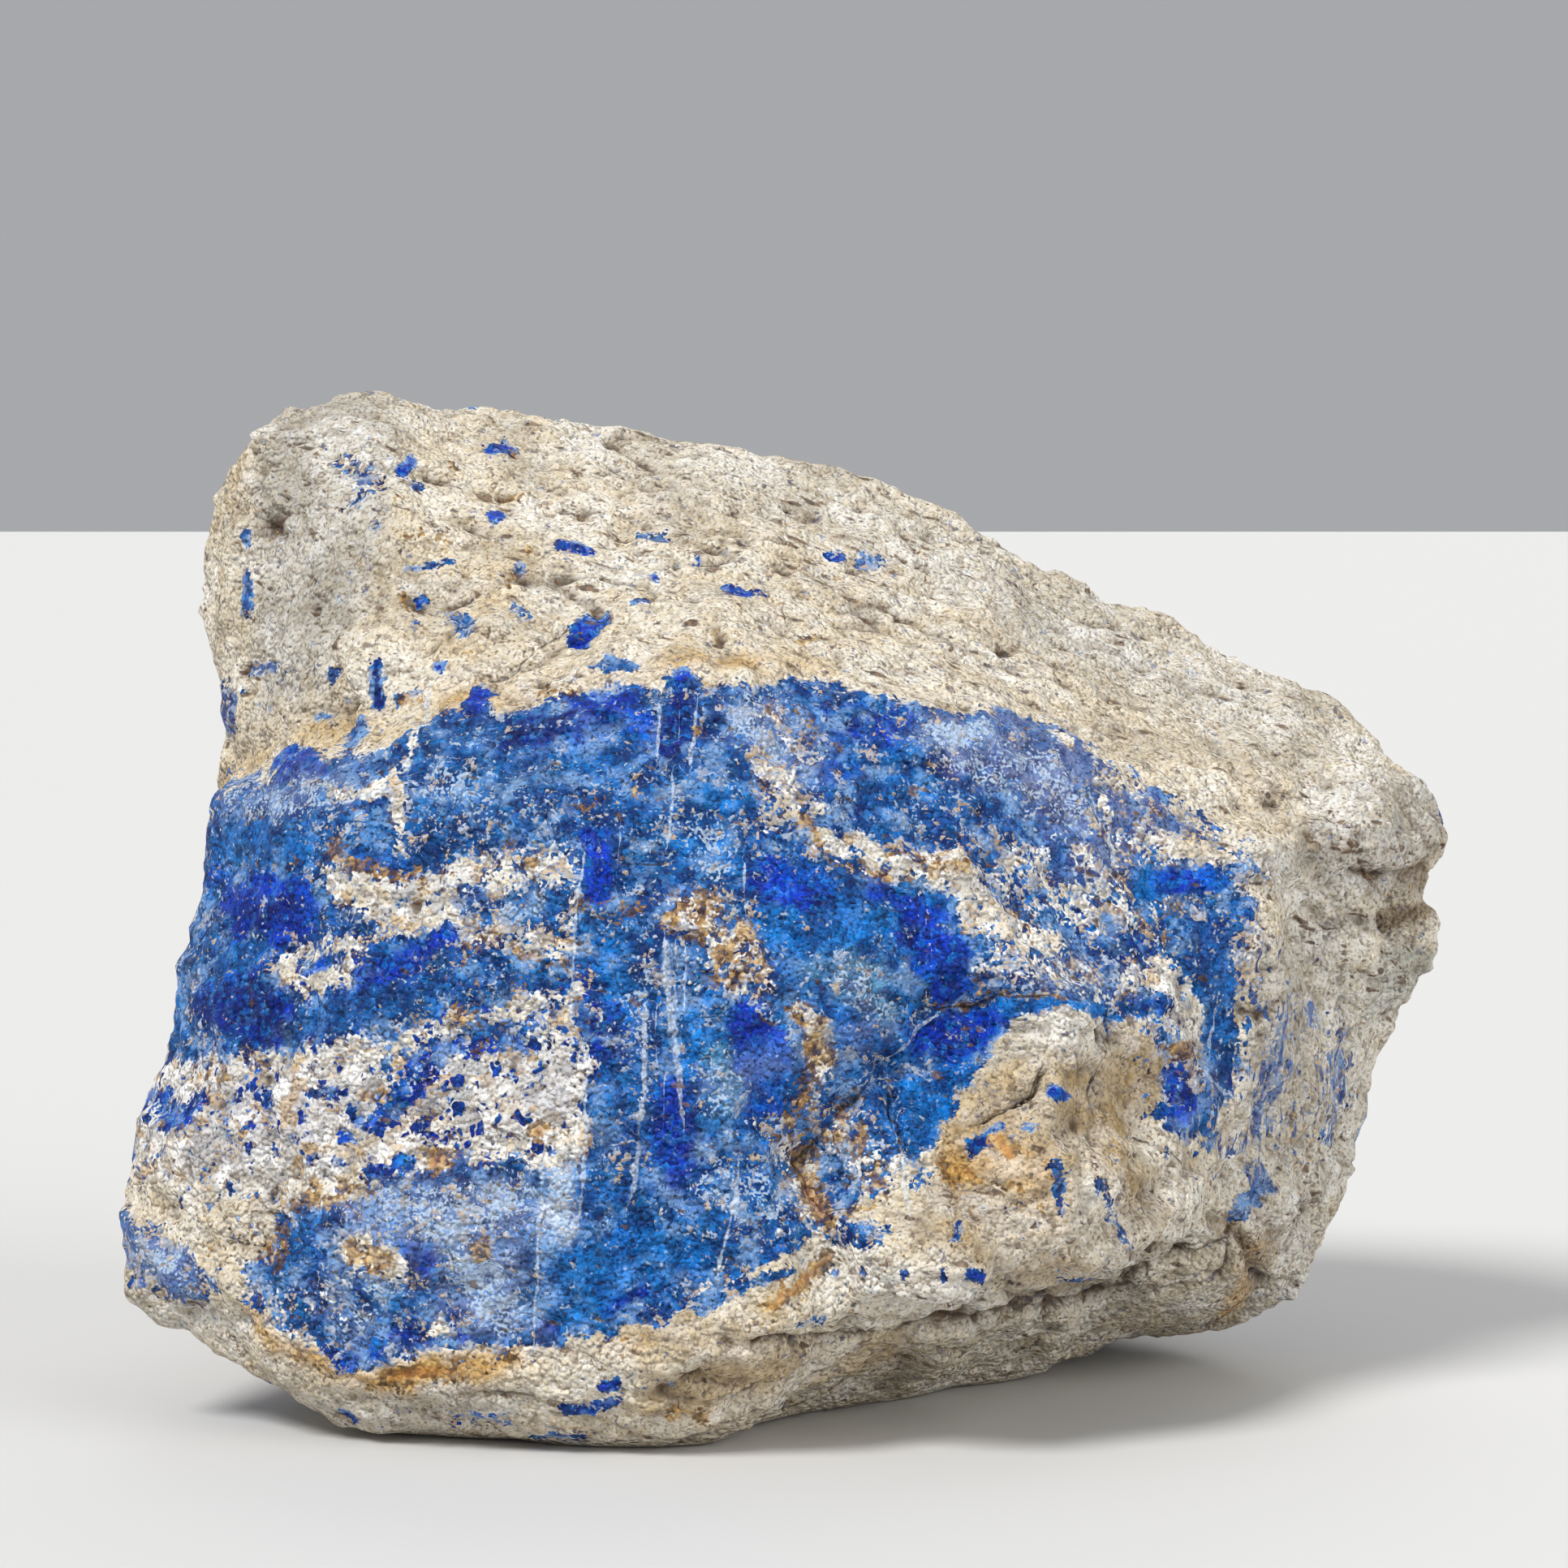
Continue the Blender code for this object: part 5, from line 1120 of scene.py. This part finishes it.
def coverage(share, grains, edge=0.06):
    made = add(tree, "ShaderNodeGroup", node_tree=coverage_group, Share=share, Grain=grains, Edge=edge)
    return made.outputs["Mask"]


def specks(share, middle, random):
    """Separate spots: this share of the crystals shows one, wider where the number is lower."""
    return coverage(times(maths(tree, "SUBTRACT", share, random), 1.5), middle, 0.07)


def mix(under, over, amount, blend="MIX"):
    made = add(tree, "ShaderNodeMix", data_type="RGBA", blend_type=blend)
    for socket, value in ((made.inputs[6], under), (made.inputs[7], over), (made.inputs[0], amount)):
        if isinstance(value, bpy.types.NodeSocket):
            tree.links.new(value, socket)
        elif np.ndim(value):
            socket.default_value = (*value[:3], 1.0)
        else:
            socket.default_value = value
    return made.outputs[2]


def layered(colour, layers):
    """The colour with (screen colour, amount) layers laid over it, in order."""
    for screen_colour, amount in layers:
        colour = mix(colour, linear(*screen_colour), amount)
    return colour


def times(first, second):
    return maths(tree, "MULTIPLY", first, second)


def plus(first, second):
    return maths(tree, "ADD", first, second)


def blend(*parts):
    """A sum of (weight, value) pairs."""
    total = times(parts[0][1], parts[0][0])
    for weight, value in parts[1:]:
        total = plus(total, times(value, weight))
    return total


def between(value, low, high):
    """0 below low, 1 above high, and straight in between."""
    made = add(tree, "ShaderNodeMapRange", Value=value)
    made.inputs["From Min"].default_value = low
    made.inputs["From Max"].default_value = high
    return made.outputs["Result"]


def shades(value, stops):
    """A colour for each value from 0 to 1, from (where, colour) stops."""
    made = add(tree, "ShaderNodeValToRGB", Fac=value)
    for number, (where, colour) in enumerate(stops):
        stop = made.color_ramp.elements[number] if number < 2 else made.color_ramp.elements.new(where)
        stop.position, stop.color = where, (*colour, 1.0)
    return made.outputs["Color"]


print("paint layers start from", place.name)

# %% Marble
fine_middle, fine_random = crystals(0.85, 0.3, bent=False)
broad_middle, broad_random = crystals(1.9, 1.1)
middle_grain = grain(2.4, seed=1.7)
coarse_grain = grain(7.0, seed=2.7)
small_grain = grain(0.5, seed=7.6, detail=0.0)
streak_grain = grain(1.5, stretched((3.2, 1.4, 1.0), 17), 3.3, detail=1.0)
lump_grain = grain(4.4, seed=8.8)
mosaic = shades(blend((0.55, fine_random[0]), (0.45, middle_grain)), [
    (0.0, linear(255, 254, 250)), (0.34, linear(252, 248, 240)), (0.5, linear(228, 224, 216)),
    (0.62, linear(244, 234, 212)), (0.78, linear(214, 203, 184)), (0.9, linear(170, 154, 134)),
    (1.0, linear(120, 100, 82)),
])
face_whites = times(coverage(0.42, lump_grain, 0.2), 0.7)
face_greys = times(coverage(0.26, broad_random[2], 0.12), 0.6)
face_ochres = times(coverage(0.13, broad_random[1], 0.1), 0.6)
marble = layered(mix(tint("rock_tint"), mosaic, 0.8, "MULTIPLY"), [
    ((250, 249, 246), times(between(coarse_grain, 0.5, 1.0), 0.35)),
    ((252, 252, 250), times(mask("face"), face_whites)),
    ((150, 152, 156), times(mask("face"), face_greys)),
    ((196, 158, 98), times(mask("face"), face_ochres)),
    ((146, 136, 124), times(between(streak_grain, 0.32, 0.0), 0.55)),
    # Painted shade and brown dirt in the hollows.
    ((112, 94, 74), times(mask("hollow_shade_and_dirt"), 0.75)),
    ((62, 44, 34), times(between(mask("hollow_shade_and_dirt"), 0.55, 1.0), 0.75)),
    ((92, 80, 70), times(coverage(0.13, small_grain, 0.1), 0.5)),
])
print("marble colour:", marble.name)

# %% Lapis grains
upright_grain = grain(1.2, stretched((0.8, 1.0, 5.0), 4), 4.4, detail=1.0)
mixed_grain = blend(
    (0.34, middle_grain), (0.18, broad_random[2]), (0.30, fine_random[1]), (0.18, small_grain))
lapis_grain = add(tree, "ShaderNodeMix", data_type="FLOAT")
tree.links.new(mask("upright"), lapis_grain.inputs[0])
tree.links.new(between(mixed_grain, 0.22, 0.78), lapis_grain.inputs[2])
tree.links.new(between(blend((0.8, upright_grain), (0.2, fine_random[1])), 0.05, 0.9), lapis_grain.inputs[3])
lapis_grain = lapis_grain.outputs[0]
pure = between(mask("lapis"), 0.86, 0.98)
mixed = maths(tree, "SUBTRACT", 1.0, pure)
patchy = times(maths(tree, "SUBTRACT", coarse_grain, 0.5), 0.3)
lapis_share = plus(mask("lapis"), times(times(patchy, mixed), between(mask("lapis"), 0.0, 0.1)))
body_mask = coverage(lapis_share, lapis_grain, 0.05)
dot_mask = specks(mask("dots"), broad_middle, broad_random[0])
lapis_mask = maths(tree, "MAXIMUM", body_mask, dot_mask)
# Darker and brighter crystals: partly the lapis's own mottling, partly painted shade and painted glints of
# facets turned away from or towards the light.
dark_grains_and_facet_shade = coverage(0.34, blend((0.6, fine_random[2]), (0.4, broad_random[0])), 0.12)
bright_grains_and_facet_glints = coverage(0.3, blend((0.6, fine_random[0]), (0.4, broad_random[2])), 0.12)
light_clouds = between(blend((0.7, lump_grain), (0.3, broad_random[0])), 0.52, 0.8)
dark_clouds = between(blend((0.7, lump_grain), (0.3, broad_random[2])), 0.48, 0.16)
dull_grains = between(blend((0.6, streak_grain), (0.4, broad_random[0])), 0.3, 0.7)
blue = layered(tint("blue_tint"), [
    ((30, 122, 184), times(times(between(broad_random[1], 0.6, 1.0), mixed), 0.4)),
    ((2, 14, 74), times(dark_grains_and_facet_shade, 0.6)),
    ((24, 140, 226), times(bright_grains_and_facet_glints, 0.42)),
    ((64, 142, 208), times(between(middle_grain, 0.55, 1.0), plus(0.1, times(mixed, 0.3)))),
    ((130, 166, 210), times(light_clouds, plus(0.04, times(mixed, 0.66)))),
    ((4, 20, 84), times(dark_clouds, plus(0.5, times(mixed, 0.25)))),
    ((2, 20, 96), times(between(coarse_grain, 0.42, 0.0), 0.45)),
    ((0, 26, 118), times(dot_mask, 0.5)),
    ((126, 138, 178), times(mask("dull"), plus(0.2, times(dull_grains, 0.55)))),
    ((8, 12, 34), times(between(small_grain, 0.16, 0.0), 0.7)),
])
fleck_share = plus(plus(0.05, times(mixed, 0.13)), times(mask("veil"), 0.55))
other_grain = blend((0.45, small_grain), (0.3, broad_random[1]), (0.25, streak_grain))
flecks = coverage(fleck_share, other_grain, 0.1)
blue = mix(blue, linear(190, 210, 230), times(flecks, 0.72))
rim_share = coverage(plus(lapis_share, 0.24), lapis_grain, 0.05)
rim = times(rim_share, coverage(0.42, blend((0.6, lump_grain), (0.4, broad_random[1])), 0.1))
pale_grains = coverage(times(mask("lapis"), 1.1), other_grain, 0.12)
colour = mix(marble, linear(126, 152, 192), times(pale_grains, 0.7))
rim_colour = shades(fine_random[1], [(0.2, linear(96, 66, 30)), (0.8, linear(196, 156, 88))])
colour = mix(colour, rim_colour, times(rim, 0.62))
colour = mix(colour, blue, lapis_mask)
print("lapis mask:", lapis_mask.name)

# %% Veins, rust, soil and cracks, with painted shade
vein_distance = maths(tree, "ABSOLUTE", mask("vein_side"))
vein_width = plus(0.1, times(middle_grain, 1.3))
vein_share = times(times(vein_width, mask("vein_near")), between(lump_grain, 0.15, 0.5))
vein_mask = coverage(vein_share, vein_distance, 0.3)
colour = mix(colour, linear(206, 216, 228), times(vein_mask, plus(0.25, times(small_grain, 0.5))))
rust_colour = shades(blend((0.5, fine_random[1]), (0.5, middle_grain)), [
    (0.15, linear(60, 40, 20)), (0.38, linear(116, 82, 36)),
    (0.6, linear(180, 138, 70)), (0.8, linear(220, 184, 116)),
])
rust_colour = mix(rust_colour, linear(206, 132, 52), times(between(mask("rust"), 0.68, 0.9), 0.75))
rust_grain = blend((0.4, middle_grain), (0.35, broad_random[1]), (0.25, small_grain))
rust_mask = coverage(mask("rust"), rust_grain, 0.1)
colour = mix(colour, rust_colour, times(rust_mask, 0.8))
# Dark specks of dirt, and painted shade where the soil marks lie in recesses.
pit_grain = blend((0.75, streak_grain), (0.25, broad_random[0]))
pit_mask = coverage(times(mask("soil_and_shade"), 0.46), pit_grain, 0.05)
pit_colour = mix(linear(54, 36, 26), linear(132, 104, 78), times(fine_random[2], 0.9))
colour = mix(colour, pit_colour, times(pit_mask, 0.8))
# Painted shade: a dark line along each crack.
crack_width = times(plus(0.1, times(middle_grain, 0.8)), between(lump_grain, 0.05, 0.4))
crack_distance = maths(tree, "ABSOLUTE", mask("crack_side"))
crack_shade_mask = coverage(times(crack_width, mask("crack_near")), crack_distance, 0.35)
colour = mix(colour, linear(50, 36, 26), times(crack_shade_mask, 0.75))
tree.links.new(colour, shader.inputs["Base Color"])
print("colour layers done:", len(tree.nodes), "nodes")

# %% [markdown]
# The surface itself: chalky marble scatters light evenly, so it is rough. Lapis breaks with tiny
# shiny facets, so its roughness is lower and varies from grain to grain. A Bump node adds the
# grain that is too fine for the mesh.

# %% Gloss and bump
roughness = add(tree, "ShaderNodeMix", data_type="FLOAT")
tree.links.new(lapis_mask, roughness.inputs[0])
tree.links.new(plus(0.66, times(small_grain, 0.2)), roughness.inputs[2])
tree.links.new(plus(0.3, times(fine_random[0], 0.45)), roughness.inputs[3])
tree.links.new(roughness.outputs[0], shader.inputs["Roughness"])
shader.inputs["Specular IOR Level"].default_value = 0.22
height = blend((1.1, middle_grain), (0.55, streak_grain), (-0.9, fine_middle))
bump = add(tree, "ShaderNodeBump", Strength=0.85, Distance=0.0009, Height=height)
tree.links.new(bump.outputs["Normal"], shader.inputs["Normal"])
stone_mesh.materials.clear()
stone_mesh.materials.append(material)
for face in stone_mesh.polygons:
    face.use_smooth = True
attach(stone, "root")
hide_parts("rough_stone")
print("material nodes:", len(tree.nodes))

# %% [markdown]
# ## Studio
# A plain pale floor, a soft light above and to the left, weaker and wider ones on the right and
# behind, and a pale sky are enough. Wide lights give the soft edges of a light tent, and the
# shadow under the stone shows that it stands on the floor.

# %% Floor, lights and sky
def plain_material(name, colour, roughness):
    made = bpy.data.materials.new(name)
    made.use_nodes = True
    made.node_tree.nodes["Principled BSDF"].inputs["Base Color"].default_value = (*colour, 1.0)
    made.node_tree.nodes["Principled BSDF"].inputs["Roughness"].default_value = roughness
    return made


FLOOR_SIZE = 6.0
sheet = bmesh.new()
bmesh.ops.create_grid(sheet, x_segments=1, y_segments=1, size=FLOOR_SIZE)
floor_mesh = bpy.data.meshes.new("floor")
sheet.to_mesh(floor_mesh)
sheet.free()
floor_mesh.materials.append(plain_material("pale_floor", linear(205, 204, 202), 0.7))
floor = bpy.data.objects.new("floor", floor_mesh)
bpy.context.scene.collection.objects.link(floor)


def soft_light(name, place, spread_degrees, strength):
    """A light from far away as wide as a big soft box, so that the floor is lit evenly."""
    lamp = bpy.data.lights.new(name, "SUN")
    lamp.angle, lamp.energy = math.radians(spread_degrees), strength
    made = bpy.data.objects.new(name, lamp)
    made.location = place
    made.rotation_euler = Vector(place).to_track_quat("Z", "Y").to_euler()
    bpy.context.scene.collection.objects.link(made)


soft_light("light_above_left", (-0.60, -0.62, 1.0), 20, 2.95)
soft_light("light_right", (1.0, -0.6, 0.5), 50, 1.3)
soft_light("light_behind", (0.2, 0.9, 0.9), 50, 0.6)
sky = bpy.data.worlds.new("studio")
sky.use_nodes = True
sky.node_tree.nodes["Background"].inputs["Color"].default_value = (0.80, 0.82, 0.85, 1.0)
sky.node_tree.nodes["Background"].inputs["Strength"].default_value = 0.48
bpy.context.scene.world = sky
bpy.context.scene.view_settings.view_transform = "Standard"
